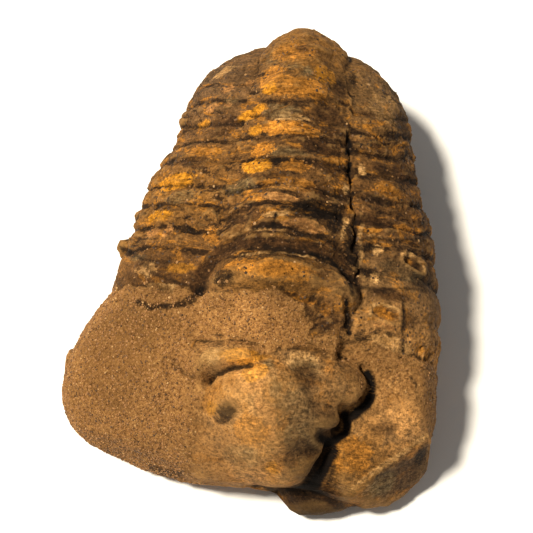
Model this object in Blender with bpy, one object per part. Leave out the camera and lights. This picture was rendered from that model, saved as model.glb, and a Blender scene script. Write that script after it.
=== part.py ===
"""A trilobite fossil, partly rolled up, in the stone that filled it: one solid piece.

The head faces -Y, the body's long axis runs along Y, and the back faces +Z. The origin lies on the
resting plane, under the midline of the back. Sizes are in millimetres, and MM turns them to metres.

The body is a closed quad sphere whose points are moved out along rays from a line inside it. The rays
first reach the plain body, then the lobes and ridges that stand on it, then the furrows cut into it.
"""

import math

import bmesh
import bpy
import numpy as np
from mathutils import Vector, noise

MM = 0.001

# The plain body, without its lobes.
FRONT_Y = -26.3
REAR_Y = 33.4
EDGE_Z = 9.0            # height of the widest line around the body
FRONT_CAP = 12.5        # length over which the front closes
REAR_CAP = 15.5         # length over which the tail end closes
RIGHT_HALF_WIDTH = ((-26, 20.4), (-18, 20.6), (-9, 21.1), (-2, 21.0), (4, 19.9), (9, 18.9), (15, 17.0), (21, 15.7), (27, 15.2), (34, 15.2))
LEFT_HALF_WIDTH = ((-26, 26.8), (-18, 27.4), (-12, 25.8), (-7, 23.6), (-1, 22.0), (4, 20.8), (9, 19.7), (14, 18.2), (17, 16.3), (21, 16.0), (27, 16.0), (34, 16.4))
BACK_Z = ((-26.5, 9.5), (-22, 13.6), (-18, 17.0), (-12, 20.4), (-5, 22.8), (4, 23.4), (12, 23.4), (20, 23.0), (34, 22.0))
FRONT_WIDTH_POWER = {"right": 6.0, "left": 2.7}
REAR_POWER = 2.7
SECTION_POWER = 2.35    # 2 would make each cross-section an ellipse
BELLY_POWER = 2.8

# The line inside the body that the rays start from.
SPINE_Z = 9.0
SPINE_FRONT_Y = -15.0
SPINE_REAR_Y = 18.0

# The back curls down around this hinge, so the rear rings and ribs fan out from it.
HINGE_Y = 18.0
HINGE_Z = 3.0
CURL_RADIUS = 21.0

# The raised axis down the middle of the back.
AXIS_HALF_WIDTH = ((-12, 9.4), (-3, 9.6), (2, 8.9), (6, 8.1), (13, 7.2), (20, 6.7), (30, 5.7), (40, 4.6), (52, 3.2))
AXIS_RISE = ((-12, 1.4), (-8, 2.8), (-4, 4.2), (3, 4.5), (12, 4.3), (22, 3.8), (30, 3.1), (40, 2.5), (52, 1.2))
AXIS_ARCH = 1.55        # 2 would make the axis an ellipse in section
AXIS_FURROW_DEPTH = {"right": 1.3, "left": 0.7}
AXIS_FURROW_WIDTH = 0.8

# Where each ring of the axis begins, from the neck ring back: along the back, then round the curl.
# Each rib begins at its ring, and reaches the edge of the body at the place the lists below give.
RING_EDGES = (-11.3, -5.8, -0.6, 2.4, 5.5, 8.3, 11.7, 14.8, 17.5, 20.8, 23.8, 26.8, 29.8, 32.6, 35.2, 37.6, 39.8, 41.8, 43.6)
RIGHT_RIB_ENDS = (-10, -4, 1.2, 4.6, 8.8, 12.7, 16.4, 23.3, 30.6, 35.6, 39, 42, 44.5, 46.5, 48, 49.3, 50.4, 51.4, 52.3)
LEFT_RIB_ENDS = (-10, -3.5, 2.9, 5.3, 8.0, 11.0, 14.6, 17.0, 25.8, 31.7, 36.5, 40, 43, 45.5, 47.5, 49.3, 50.6, 51.6, 52.4)
RING_RISE = (0.4, 1.5, 0.3, 0.6, 0.6, 0.7, 0.8, 0.7, 0.6, 0.3, 0.2, 0.25, 0.3, 0.3, 0.35, 0.35, 0.3, 0.25)
RING_BOW = ((-12, 0.0), (-6, 0.6), (-1, 2.4), (4, 1.6), (9, 0.4), (52, 0.2))   # how far a ring's ends lie forward
RIB_RISE = 1.0
TIP_OVERHANG = 1.4      # the rib tips stand this far out over the stone below


class Lump:
    """An ellipsoid that stands on the body: its centre, its radii, and a turn about Z in degrees."""

    def __init__(self, centre, radii, turn=0.0, tilt=0.0):
        self.centre = np.array(centre, float)
        yaw, pitch = math.radians(turn), math.radians(tilt)
        about_z = np.array([[math.cos(yaw), math.sin(yaw), 0], [-math.sin(yaw), math.cos(yaw), 0], [0, 0, 1]])
        about_x = np.array([[1, 0, 0], [0, math.cos(pitch), math.sin(pitch)], [0, -math.sin(pitch), math.cos(pitch)]])
        self.scale = (about_x @ about_z) / np.array(radii, float)[:, None]

    def reach(self, start, direction):
        """How far along each ray its far side lies. A ray that misses gets a reach that falls away."""
        d = direction @ self.scale.T
        o = (start - self.centre) @ self.scale.T
        a = (d * d).sum(1)
        b = (d * o).sum(1)
        inside = b * b - a * ((o * o).sum(1) - 1)
        return (np.sign(inside) * np.sqrt(np.abs(inside)) - b) / a


# The head: the swollen glabella with its side lobes, the cheeks and the rim.
GLABELLA = (
    Lump((-0.7, -17.0, 12.0), (9.4, 7.8, 13.2)),
    Lump((-0.2, -19.8, 9.6), (7.2, 6.9, 13.0)),
)
SIDE_LOBES = (
    Lump((7.2, -14.3, 17.4), (5.2, 4.3, 5.6)),
    Lump((6.3, -19.8, 16.0), (3.4, 2.9, 5.2)),
    Lump((4.6, -23.5, 13.4), (3.2, 2.5, 4.6)),
    Lump((-5.6, -13.6, 19.0), (4.6, 2.6, 5.0)),
)
RIM = (
    Lump((6.9, -26.0, 3.6), (4.8, 2.9, 3.6)),
    Lump((10.9, -22.2, 6.4), (4.4, 4.6, 7.2), turn=-35),
    Lump((14.8, -20.2, 4.2), (6.3, 6.6, 5.6)),
)
CHEEK = (
    Lump((12.5, -15.2, 7.5), (8.6, 9.2, 10.9)),
    Lump((15.8, -12.4, 14.0), (2.8, 3.2, 4.2)),
)
CRUST_LUMPS = (
    Lump((-12.0, -12.6, 5.5), (14.4, 12.2, 14.6), turn=8),
    Lump((-7.5, -19.6, 6.0), (9.0, 5.8, 11.0)),
    Lump((-24.9, -12.8, 8.6), (1.8, 1.8, 2.4)),
    Lump((-20.8, 3.5, 8.8), (1.5, 1.1, 1.8)),
)

# Flat breaks that the stone doesn't reach past, each a point and the outward normal.
BREAKS = (
    ((17.3, -22.6, 9.5), (0.507, -0.780, 0.365)),
    ((-12.0, -25.2, 7.0), (-0.22, -0.95, 0.10)),
)

# Furrows, as lines of points, each with a depth and a half-width.
FURROWS = (
    (((13.0, -11.4, 18), (13.2, -14.6, 18), (12.2, -17.2, 18), (10.2, -18.2, 18)), 2.2, 0.60),
    (((10.2, -18.2, 18), (10.6, -20.2, 17), (9.5, -21.7, 17), (7.4, -22.0, 17)), 2.4, 0.60),
    (((7.4, -22.0, 17), (8.2, -23.4, 15), (7.4, -25.0, 13), (5.8, -26.2, 10), (4.0, -26.9, 8), (0.5, -27.2, 6)), 2.2, 0.60),
    (((10.2, -18.2, 18), (7.6, -17.5, 21), (5.2, -15.6, 23), (4.0, -13.2, 24)), 0.9, 1.0),
    (((7.4, -22.0, 17), (5.4, -21.9, 19), (3.6, -20.4, 22)), 0.7, 0.9),
    (((-8.3, -16.4, 19), (-6.8, -15.8, 20), (-4.6, -14.8, 23), (-2.2, -14.3, 24)), 0.9, 0.60),
    (((-9.6, -11.4, 20), (-3.0, -11.6, 22), (3.0, -11.6, 22), (8.0, -11.2, 21)), 0.6, 0.70),
    (((16.6, -0.6, 17), (16.9, -3.4, 17), (17.4, -6.2, 17), (17.2, -9.6, 16)), 0.4, 0.5),
    (((18.4, -11.2, 14), (19.0, -12.6, 14), (18.9, -14.4, 13)), 0.6, 0.4),
)
HEIGHT_SHARE = 0.4      # how much of a height difference counts as distance from a furrow
PITS = (((-7.7, -16.4, 20.9), 2.0, 0.8),)

# The mesh.
SPHERE_CUTS = 88        # cuts along each edge of the cube that is blown up
MOST_TRIANGLES = 9600
FLAT_WITHIN = 0.05      # points this near the resting plane lie on it


def along(stations, place):
    """Reads the smooth curve through (place, value) stations."""
    at, value = np.array(stations, float).T
    slope = np.gradient(value, at)
    i = np.clip(np.searchsorted(at, place) - 1, 0, len(at) - 2)
    span = at[i + 1] - at[i]
    u = np.clip((place - at[i]) / span, 0, 1)
    start = value[i] * (1 + 2 * u) * (1 - u) ** 2 + slope[i] * span * u * (1 - u) ** 2
    end = value[i + 1] * (3 - 2 * u) * u**2 + slope[i + 1] * span * (u - 1) * u**2
    return start + end


def ease(low, high, value):
    """0 below low, 1 above high, and smooth in between."""
    u = np.clip((value - low) / (high - low), 0, 1)
    return u * u * (3 - 2 * u)


def rounded(u, power):
    """The height at u of a superellipse of that power."""
    return np.maximum(1 - np.abs(np.clip(u, -1, 1)) ** power, 0) ** (1 / power)


def blend_up(a, b, blend):
    """The larger of a and b, with the crease between them filled over about blend."""
    return (a + b + np.sqrt((a - b) ** 2 + blend**2)) / 2


def distance_to_line(points, line):
    """How far each point lies from a line of straight stretches, with its height counted for less."""
    flatten = np.array([1, 1, HEIGHT_SHARE])
    points, line = points * flatten, np.array(line) * flatten
    nearest = np.full(len(points), np.inf)
    for start, end in zip(line, line[1:]):
        step = end - start
        u = np.clip((points - start) @ step / max(step @ step, 1e-9), 0, 1)
        nearest = np.minimum(nearest, np.linalg.norm(points - start - u[:, None] * step, axis=1))
    return nearest


def quad_sphere(cuts):
    """A cube whose grid of faces is blown up to the unit sphere."""
    mesh = bmesh.new()
    bmesh.ops.create_cube(mesh, size=2)
    bmesh.ops.subdivide_edges(mesh, edges=mesh.edges[:], cuts=cuts, use_grid_fill=True)
    for vert in mesh.verts:
        spread = [math.tan(c * math.pi / 4) for c in vert.co]
        vert.co = Vector(spread).normalized()
    return mesh


def plain_body(unit):
    """Points of the plain body: each point of the unit sphere goes to the cross-section at its own y."""
    y = FRONT_Y + (unit[:, 1] + 1) / 2 * (REAR_Y - FRONT_Y)
    ring = np.hypot(unit[:, 0], unit[:, 2]) + 1e-9
    across, up = unit[:, 0] / ring, unit[:, 2] / ring
    front = np.clip((FRONT_Y + FRONT_CAP - y) / FRONT_CAP, 0, 1)
    rear = np.clip((y - REAR_Y + REAR_CAP) / REAR_CAP, 0, 1)
    right = along(RIGHT_HALF_WIDTH, y) * rounded(front, FRONT_WIDTH_POWER["right"]) * rounded(rear, REAR_POWER)
    left = along(LEFT_HALF_WIDTH, y) * rounded(front, FRONT_WIDTH_POWER["left"]) * rounded(rear, REAR_POWER)
    top = (along(BACK_Z, y) - EDGE_Z) * rounded(front, 4.0) * rounded(rear, REAR_POWER)
    bottom = (EDGE_Z + 1.2) * rounded(front, 3.0) * rounded(rear, 3.2)
    half_width = np.where(across > 0, right, left)
    tall = np.where(up > 0, top, bottom)
    power = np.where(up > 0, SECTION_POWER, BELLY_POWER)
    stretch = (np.abs(across) ** power + np.abs(up) ** power) ** (-1 / power)
    return np.stack([half_width * across * stretch, y, EDGE_Z + tall * up * stretch], 1)


def back_station(y, z):
    """How far back a point lies along the back: its y, and then the arc round the curl."""
    curl = np.arctan2(y - HINGE_Y, z - HINGE_Z)
    return np.where(y > HINGE_Y, HINGE_Y + CURL_RADIUS * curl, y)


def flank_share(x, y, z):
    """0 at the axis furrow and 1 at the rib tips, measured as an angle about the spine."""
    height = np.where(y > HINGE_Y, np.hypot(y - HINGE_Y, z - HINGE_Z) + HINGE_Z, z) - SPINE_Z
    angle = np.degrees(np.arctan2(np.abs(x), height))
    return (angle - 34) / 60


def segment_phase(station, edges):
    """The segment's number and how far through it the station lies, as one number."""
    count = len(edges)
    return np.interp(station, edges, np.arange(count), left=-0.999, right=count - 1)


def crust_cover(x, y):
    """1 where sandy stone covers the shell: the left cheek, and the neck ring up to the first ring."""
    cheek = ease(-8.6, -10.4, x) * ease(-4.2, -6.2, y + 0.16 * (x + 10))
    neck = ease(4.5, 0.0, x) * ease(-5.2, -6.8, y) * ease(-12.2, -10.6, y)
    return np.maximum(cheek, neck)


def axis_relief(x, z, station, cover):
    """The raised axis with its rings."""
    half_width = along(AXIS_HALF_WIDTH, station)
    across = x / half_width
    here = ease(-13.6, -11.2, station)
    lobe = along(AXIS_RISE, station) * rounded(across, AXIS_ARCH)
    phase = segment_phase(station + along(RING_BOW, station) * across**2, RING_EDGES)
    number = np.clip(np.floor(phase).astype(int), 0, len(RING_RISE) - 1)
    part = phase - np.floor(phase)
    bulge = 0.6 - np.abs(2 * part - 1) ** 3.5
    rings = np.array(RING_RISE)[number] * bulge * rounded(across, 4) * (1 - 0.7 * cover)
    depth = np.where(x > 0, AXIS_FURROW_DEPTH["right"], AXIS_FURROW_DEPTH["left"])
    gap = (np.abs(x) - half_width) / AXIS_FURROW_WIDTH
    furrow = depth * np.exp(-(gap**2)) * (1 - 0.8 * cover) * (z > HINGE_Z)
    return here * (lobe + rings - furrow)


def rib_relief(x, station, flank, cover):
    """The ribs of the two flanks: each is a ridge with a shallow furrow along it."""
    outward = ease(0, 1, flank)
    ends = np.where(x > 0, segment_phase(station, RIGHT_RIB_ENDS), segment_phase(station, LEFT_RIB_ENDS))
    phase = (1 - outward) * segment_phase(station, RING_EDGES) + outward * ends
    part = phase - np.floor(phase)
    ridge = 0.6 - np.abs(2 * part - 1) ** 3
    groove = np.exp(-(((part - 0.45) / 0.12) ** 2))
    tips = 1.04 - 0.34 * ease(22, 38, station)
    on_flank = ease(-0.02, 0.10, flank) * ease(tips + 0.06, tips - 0.06, flank)
    here = ease(-9.6, -8.4, station) * ease(12.4, 10.4, phase)
    size = RIB_RISE * (0.7 + 0.5 * ease(0.2, 1.0, flank))
    return here * on_flank * (1 - 0.85 * cover) * size * (ridge - 0.22 * groove * ease(1, 0.7, flank))


def shape(unit):
    """The finished surface, in millimetres, for points of the unit sphere."""
    body = plain_body(unit)
    x, y, z = body.T
    start = np.stack([np.zeros_like(x), np.clip(y, SPINE_FRONT_Y, SPINE_REAR_Y), np.full_like(x, SPINE_Z)], 1)
    ray = body - start
    reach = np.linalg.norm(ray, axis=1)
    ray = ray / reach[:, None]
    station = back_station(y, z)
    flank = flank_share(x, y, z)
    cover = crust_cover(x, y)
    reach = reach + axis_relief(x, z, station, cover)
    reach = reach + rib_relief(x, station, flank, cover)
    reach = reach - TIP_OVERHANG * ease(1.0, 1.12, flank) * ease(-9, -6, y) * ease(25, 16, y)
    for lump in CHEEK + RIM + CRUST_LUMPS:
        reach = blend_up(reach, lump.reach(start, ray), 0.9)
    for point, normal in BREAKS:
        facing = np.maximum(ray @ np.array(normal), 1e-3)
        reach = -blend_up(-reach, -((np.array(point) - start) @ np.array(normal)) / facing, 0.4)
    for lump in GLABELLA:
        reach = blend_up(reach, lump.reach(start, ray), 1.2)
    for lump in SIDE_LOBES:
        reach = blend_up(reach, lump.reach(start, ray), 1.0)
    points = start + ray * reach[:, None]
    for line, depth, half_width in FURROWS:
        reach = reach - depth * np.exp(-((distance_to_line(points, line) / half_width) ** 2))
    for centre, depth, radius in PITS:
        reach = reach - depth * np.exp(-((distance_to_line(points, (centre, centre)) / radius) ** 2))
    points = start + ray * reach[:, None]
    reach = reach + stone_swell(points)
    points = start + ray * reach[:, None]
    points[:, 2] = np.maximum(points[:, 2], 0)
    return points


def stone_swell(points):
    """Slow swells and hollows of worn stone, in millimetres."""
    return np.array([0.45 * noise.fractal(Vector(p) / 7.0, 1.0, 2.0, 3) for p in points])


def fossil_mesh():
    """The sphere's mesh, moved to the fossil's surface."""
    mesh = quad_sphere(SPHERE_CUTS)
    unit = np.array([vert.co[:] for vert in mesh.verts])
    for vert, point in zip(mesh.verts, shape(unit)):
        vert.co = Vector(point) * MM
    data = bpy.data.meshes.new("fine fossil")
    mesh.to_mesh(data)
    mesh.free()
    data.shade_smooth()
    return data


def with_fewer_faces(fine):
    """A copy of the mesh with its faces brought down to the number wanted, and a flat underside."""
    helper = bpy.data.objects.new("fine fossil", fine)
    bpy.context.scene.collection.objects.link(helper)
    fewer = helper.modifiers.new("fewer faces", "DECIMATE")
    fewer.ratio = MOST_TRIANGLES / (2 * len(fine.polygons))
    fewer.use_collapse_triangulate = True
    bpy.context.view_layer.update()
    coarse = bpy.data.meshes.new_from_object(helper.evaluated_get(bpy.context.evaluated_depsgraph_get()))
    bpy.data.objects.remove(helper)
    for vert in coarse.vertices:
        if vert.co.z < FLAT_WITHIN * MM:
            vert.co.z = 0
    return coarse


for old in list(bpy.data.objects):
    bpy.data.objects.remove(old)
group = bpy.data.collections.new("trilobite fossil")
bpy.context.scene.collection.children.link(group)

fossil = bpy.data.objects.new("trilobite", with_fewer_faces(fossil_mesh()))
group.objects.link(fossil)

stone = bpy.data.materials.new("fossil stone")
stone.use_nodes = True
stone.node_tree.nodes["Principled BSDF"].inputs["Base Color"].default_value = (0.29, 0.15, 0.055, 1)
stone.node_tree.nodes["Principled BSDF"].inputs["Roughness"].default_value = 0.85
fossil.data.materials.append(stone)
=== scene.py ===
import math

import bmesh
import bpy
import numpy as np
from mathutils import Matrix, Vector, noise


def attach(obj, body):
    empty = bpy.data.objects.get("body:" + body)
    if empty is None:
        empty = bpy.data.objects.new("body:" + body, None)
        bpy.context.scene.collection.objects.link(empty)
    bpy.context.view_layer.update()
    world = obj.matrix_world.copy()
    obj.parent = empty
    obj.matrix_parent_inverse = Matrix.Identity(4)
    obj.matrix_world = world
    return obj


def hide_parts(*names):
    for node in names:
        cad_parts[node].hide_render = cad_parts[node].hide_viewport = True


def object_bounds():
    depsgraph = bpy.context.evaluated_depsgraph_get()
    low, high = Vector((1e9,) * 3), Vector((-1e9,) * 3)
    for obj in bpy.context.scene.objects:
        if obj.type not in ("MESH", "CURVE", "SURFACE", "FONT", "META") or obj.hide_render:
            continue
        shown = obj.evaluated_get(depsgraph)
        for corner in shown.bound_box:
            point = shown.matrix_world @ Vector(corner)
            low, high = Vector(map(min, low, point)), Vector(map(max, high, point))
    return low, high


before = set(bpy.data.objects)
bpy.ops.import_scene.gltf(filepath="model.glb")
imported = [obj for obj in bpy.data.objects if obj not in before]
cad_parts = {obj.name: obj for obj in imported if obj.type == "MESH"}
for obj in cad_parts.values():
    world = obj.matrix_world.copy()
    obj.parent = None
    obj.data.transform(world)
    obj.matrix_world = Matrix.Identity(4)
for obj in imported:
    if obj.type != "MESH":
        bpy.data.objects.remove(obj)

cad_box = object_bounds()

# -----------------------------------------------------------------------------
# The fossil: a trilobite that died partly rolled up, with the mud that filled it, now one piece
# of iron-stained limestone. It was dug out by hand and brushed clean, and sandy rock still
# covers its left cheek and its neck. Left is -X here, as seen from above with the head nearest.
# -----------------------------------------------------------------------------
MM = 0.001

# The plain body: widths either side of the midline and the height of the back, in millimetres.
FRONT_Y = -26.3
REAR_Y = 33.4
EDGE_Z = 9.0
FRONT_CAP = 12.5
REAR_CAP = 15.5
RIGHT_HALF_WIDTH = (
    (-26, 20.4), (-18, 20.6), (-9, 21.1), (-2, 21.0), (4, 19.9),
    (9, 18.9), (15, 17.0), (21, 15.7), (27, 15.2), (34, 15.2),
)
LEFT_HALF_WIDTH = (
    (-26, 26.8), (-18, 27.4), (-12, 25.8), (-7, 23.6), (-1, 22.0), (4, 20.8),
    (9, 19.7), (14, 18.2), (17, 16.3), (21, 16.0), (27, 16.0), (34, 16.4),
)
BACK_Z = (
    (-26.5, 10.5), (-22, 14.8), (-18, 18.0), (-12, 21.4), (-5, 24.0),
    (4, 24.7), (12, 24.7), (20, 23.9), (34, 22.6),
)
# How square each end and each section is: 2 is an ellipse, and more is squarer.
FRONT_WIDTH_POWER = {"right": 6.0, "left": 2.7}
FRONT_HEIGHT_POWER = 4.0
REAR_POWER = 2.7
SECTION_POWER = {"right": 2.5, "left": 2.35}
BELLY_POWER = 2.8
BELLY_END_POWERS = (3.0, 3.2)
# The belly would reach this far below the floor. It is worn to a flat there.
BELOW_FLOOR = 1.2

# The line inside the body that the rays start from, and the hinge that the tail curls round.
SPINE_Z = 9.0
SPINE_FRONT_Y = -15.0
SPINE_REAR_Y = 18.0
HINGE_Y = 18.0
HINGE_Z = 3.0
CURL_RADIUS = 21.0

# The axis: the raised ridge down the back, in rings. Stations run along the back in millimetres.
AXIS_HALF_WIDTH = (
    (-12, 9.4), (-3, 9.6), (2, 8.9), (6, 8.1), (13, 7.2), (20, 6.7), (30, 5.7), (40, 4.6), (52, 3.2),
)
AXIS_RISE = (
    (-12, 1.0), (-9, 2.2), (-6, 3.4), (-3, 3.1), (3, 2.9),
    (12, 2.8), (20, 2.5), (30, 2.3), (40, 2.0), (52, 1.2),
)
AXIS_ARCH = 1.6
RIGHT_FURROW_DEPTH = (
    (-12, 0.2), (-4, 0.2), (2, 0.35), (3.5, 0.5), (5, 0.1), (7, 0.45), (9, 0.1), (10.5, 0.55),
    (12.6, 0.5), (13.4, 0.1), (14.5, 0.55), (16.5, 0.3), (18, 0.0), (30, 0.0), (40, 0.3), (52, 0.3),
)
DOME_STATION = 20.6
DOME_STEP = 0.45
AXIS_FURROW_WIDTH = 0.35
RING_EDGES = (
    -11.3, -5.8, -0.6, 2.4, 5.5, 8.3, 11.7, 14.8, 17.5, 20.8,
    23.8, 26.8, 29.8, 32.6, 35.2, 37.6, 39.8, 41.8, 43.6,
)
RIGHT_RIB_ENDS = (
    -10, -4, 1.2, 4.6, 8.8, 12.7, 16.4, 23.3, 30.6, 35.6,
    39, 42, 44.5, 46.5, 48, 49.3, 50.4, 51.4, 52.3,
)
LEFT_RIB_ENDS = (
    -10, -3.5, 2.9, 5.3, 8.0, 11.0, 14.6, 17.0, 25.8, 31.7,
    36.5, 40, 43, 45.5, 47.5, 49.3, 50.6, 51.6, 52.4,
)
RING_RISE = (
    0.3, 0.1, 0.2, 0.35, 0.35, 0.35, 0.40, 0.40, 0.40, 0.10,
    0.10, 0.10, 0.15, 0.2, 0.25, 0.25, 0.2, 0.2,
)
RING_BOW = ((-12, 0.0), (-6, 0.6), (-1, 2.4), (4, 1.6), (9, 0.4), (52, 0.2))
RIB_RISE = 0.6
TIP_OVERHANG = 1.4
RIB_PITCH = 3.1
FURROW_HEIGHT = 14.6
TIP_ANGLE = 94
# A ray that misses a lump counts as reaching this much less far at most.
LUMP_FALL = 12.0


class Lump:
    """An ellipsoid that stands on the body: its centre, its radii, and a turn about Z in degrees."""

    def __init__(self, centre, radii, turn=0.0):
        yaw = math.radians(turn)
        about_z = np.array(
            [[math.cos(yaw), math.sin(yaw), 0], [-math.sin(yaw), math.cos(yaw), 0], [0, 0, 1]]
        )
        self.centre = np.array(centre, float)
        self.scale = about_z / np.array(radii, float)[:, None]

    def reach(self, start, direction, softness=0.05):
        """How far along each ray its far side lies. Where a ray passes within softness of its rim, in
        millimetres, or misses it, the reach falls away smoothly."""
        d = direction @ self.scale.T
        o = (start - self.centre) @ self.scale.T
        a = (d * d).sum(1)
        b = (d * o).sum(1)
        square = (b * b - a * ((o * o).sum(1) - 1)) / a**2
        half_chord = np.sqrt(np.maximum(square, softness**2))
        beyond = np.minimum(square - softness**2, 0) / (2 * softness)
        return half_chord + np.maximum(beyond, -LUMP_FALL) - b / a


GLABELLA = (
    Lump((-0.7, -17.0, 12.0), (9.4, 7.8, 13.2)),
    Lump((-0.2, -19.8, 9.6), (7.2, 6.9, 13.0)),
)
SIDE_LOBES = (
    Lump((7.6, -14.8, 16.4), (5.0, 3.6, 5.6)),
    Lump((5.9, -19.3, 15.0), (4.1, 2.6, 5.6)),
    Lump((3.7, -23.4, 11.6), (4.1, 3.2, 5.0)),
    Lump((-5.4, -13.5, 19.0), (4.8, 2.7, 5.0)),
)
RIM = (
    Lump((6.9, -26.0, 3.2), (4.8, 2.9, 3.3)),
    Lump((10.9, -22.2, 6.4), (4.4, 4.6, 7.2), turn=-35),
    Lump((14.8, -20.2, 4.2), (6.3, 6.6, 5.6)),
)
CHEEK = (
    Lump((12.5, -15.2, 7.5), (8.6, 9.2, 10.9)),
    Lump((15.8, -12.4, 14.0), (2.8, 3.2, 4.2)),
)
CRUST_LUMPS = (
    Lump((-12.0, -12.6, 5.5), (14.4, 12.2, 14.6), turn=8),
    Lump((-7.5, -19.6, 6.0), (9.0, 5.8, 11.0)),
    Lump((-24.9, -12.8, 8.6), (1.8, 1.8, 2.4)),
    Lump((-20.8, 3.5, 8.8), (1.5, 1.1, 1.8)),
)
BREAKS = (
    ((15.2, -23.6, 11.0), (0.56, -0.75, 0.35)),
    ((-12.0, -25.2, 7.0), (-0.22, -0.95, 0.10)),
)
# The right cheek lies lower than the lobes beside it: a point on its flat top, and the way that faces.
CHEEK_TOP = ((13.5, -15.5, 16.9), (0.12, -0.45, 0.88))

# The first ring of the thorax, which stands up like a loaf: its line, its rise and its half-width.
LOAF_LINE = (
    (-6.9, -5.0, 25), (-4.4, -3.9, 26), (-1.0, -3.3, 27), (3.0, -3.2, 27), (6.0, -3.6, 26), (7.6, -4.6, 25),
)
LOAF_RISE = 1.6
LOAF_HALF_WIDTH = 2.9

# Furrows of the head and the neck: lines of points, each with a depth and a half-width.
# The two stretches that are named are also painted black from end to end, as painted shadow.
UPPER_LOBE_LINE = ((12.8, -15.1, 17), (12.3, -16.2, 17), (11.4, -17.2, 17), (10.4, -17.9, 17))
MIDDLE_LOBE_LINE = (
    (9.7, -17.6, 16), (10.1, -18.5, 16), (10.1, -19.7, 16), (9.4, -20.4, 15), (8.3, -21.0, 15),
    (7.1, -21.2, 15),
)
FURROWS = (
    # round the glabella's three right lobes, one after the other
    (((11.7, -12.2, 19), (12.4, -12.9, 18), (12.8, -13.8, 17), (12.8, -15.1, 17)), 1.5, 0.60),
    (UPPER_LOBE_LINE, 1.6, 0.70),
    (MIDDLE_LOBE_LINE, 1.6, 0.65),
    (((8.6, -22.0, 14), (7.8, -23.3, 14), (7.2, -24.6, 13), (6.6, -25.7, 11), (5.5, -26.4, 7),
      (3.4, -27.1, 5), (0.8, -27.3, 4), (-1.2, -27.2, 4)), 1.5, 0.60),
    # the slit left of the glabella, under a fold that stands up
    (((-8.0, -16.3, 20), (-6.9, -15.7, 21), (-4.9, -14.9, 23), (-2.6, -14.4, 24)), 1.0, 0.55),
    (((-8.4, -14.9, 20), (-7.3, -13.9, 22), (-5.6, -13.3, 23), (-3.4, -13.0, 24)), -0.7, 1.0),
    # behind the glabella
    (((-8.5, -11.9, 22), (-5.4, -11.6, 23), (-1.5, -11.4, 23)), 0.12, 0.3),
    # the crest over the broken corner
    (((11.5, -26.2, 9), (13.5, -24.7, 10), (15.2, -23.2, 11), (17.5, -21.5, 12), (20.5, -18.8, 12)),
     -0.5, 0.6),
    # above the loaf
    (((-10.0, -5.4, 24), (-9.6, -3.4, 24), (-8.6, -1.7, 25), (-7.2, -0.6, 25), (-5.2, 0.2, 26),
      (-2.6, 0.1, 27), (0.2, 0.1, 28), (3.1, 0.2, 27), (5.7, 0.3, 27), (7.7, -0.3, 26),
      (8.8, -1.8, 25)), 0.45, 0.8),
    # the right furrow of the neck
    (((8.3, -5.4, 25), (8.9, -6.7, 23), (9.2, -8.4, 22)), 0.45, 0.5),
)
# A furrow deeper than this is worn smooth inside.
DEEP_CUT = 1.2
# The deep pit at the end of the slit.
PIT = ((-7.8, -16.3, 20.6), (-7.8, -16.3, 20.6))
PIT_DEPTH = 2.4
PIT_RADIUS = 0.6
# The lines' heights are rough, so height counts for little in how far a point lies from one.
HEIGHT_SHARE = 0.12

# Where sandy rock covers the shell. Each pair is where its cover starts and where it is whole.
CRUST_REAR_Y = (-3.8, -7.2)
CRUST_INNER_X = -9.4
NECK_RIGHT_X = (6.4, 0.4)
NECK_REAR_Y = (-5.3, -6.6)
NECK_FRONT_Y = (-12.0, -10.9)
# A thin film of it lies on the low neck, the right cheek and the left of the head.
LOW_NECK_FILM = 0.62
CHEEK_FILM = 0.56
HEAD_FILM = 0.42

# Where the axis and the ribs start, and where the head, its right cheek and the worn belly do.
AXIS_START = (-13.6, -11.2)
RIBS_START = (-9.6, -8.4)
HEAD_Y = (-10.6, -12.4)
HEAD_X = (-10.4, -8.6)
CHEEK_X = (7.0, 9.0)
CHEEK_Y = (-8.5, -11.5)
WORN_BELOW_Z = (7.0, 3.0)

# How far a lump, a break and the cheek's top are blended into what they meet, in millimetres.
LUMP_BLEND = 3.0
BREAK_BLEND = 0.8
TOP_BLEND = 1.0
FURROW_WOBBLE = 0.13
UNEVENNESS = 0.45

# The worn shell: its peeled layers, the cracks between rings, and the sand that lies on it. Rings
# are numbered from the neck, and the first joint that shows lies behind the first ring.
FLAKE_THICKNESS = 0.21
JOINT_DEPTH = 0.16
JOINT_HALF_WIDTH = 0.20
SAND_THICKNESS = 0.30
FIRST_CREST = 1.45
FIRST_JOINT = 1.5


def along(stations, place):
    """Reads the smooth curve through (place, value) stations."""
    at, value = np.array(stations, float).T
    slope = np.gradient(value, at)
    i = np.clip(np.searchsorted(at, place) - 1, 0, len(at) - 2)
    span = at[i + 1] - at[i]
    u = np.clip((place - at[i]) / span, 0, 1)
    start = value[i] * (1 + 2 * u) * (1 - u) ** 2 + slope[i] * span * u * (1 - u) ** 2
    end = value[i + 1] * (3 - 2 * u) * u**2 + slope[i + 1] * span * (u - 1) * u**2
    return start + end


def ease(low, high, value):
    """0 below low, 1 above high, and smooth in between."""
    u = np.clip((value - low) / (high - low), 0, 1)
    return u * u * (3 - 2 * u)


def rounded(u, power):
    """The height at u of a superellipse of that power."""
    return np.maximum(1 - np.abs(np.clip(u, -1, 1)) ** power, 0) ** (1 / power)


def blend_up(a, b, blend):
    """The larger of a and b, with the crease between them filled where they are nearer than blend."""
    near = np.maximum(blend - np.abs(a - b), 0)
    return np.maximum(a, b) + near**2 / (4 * blend)


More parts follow.
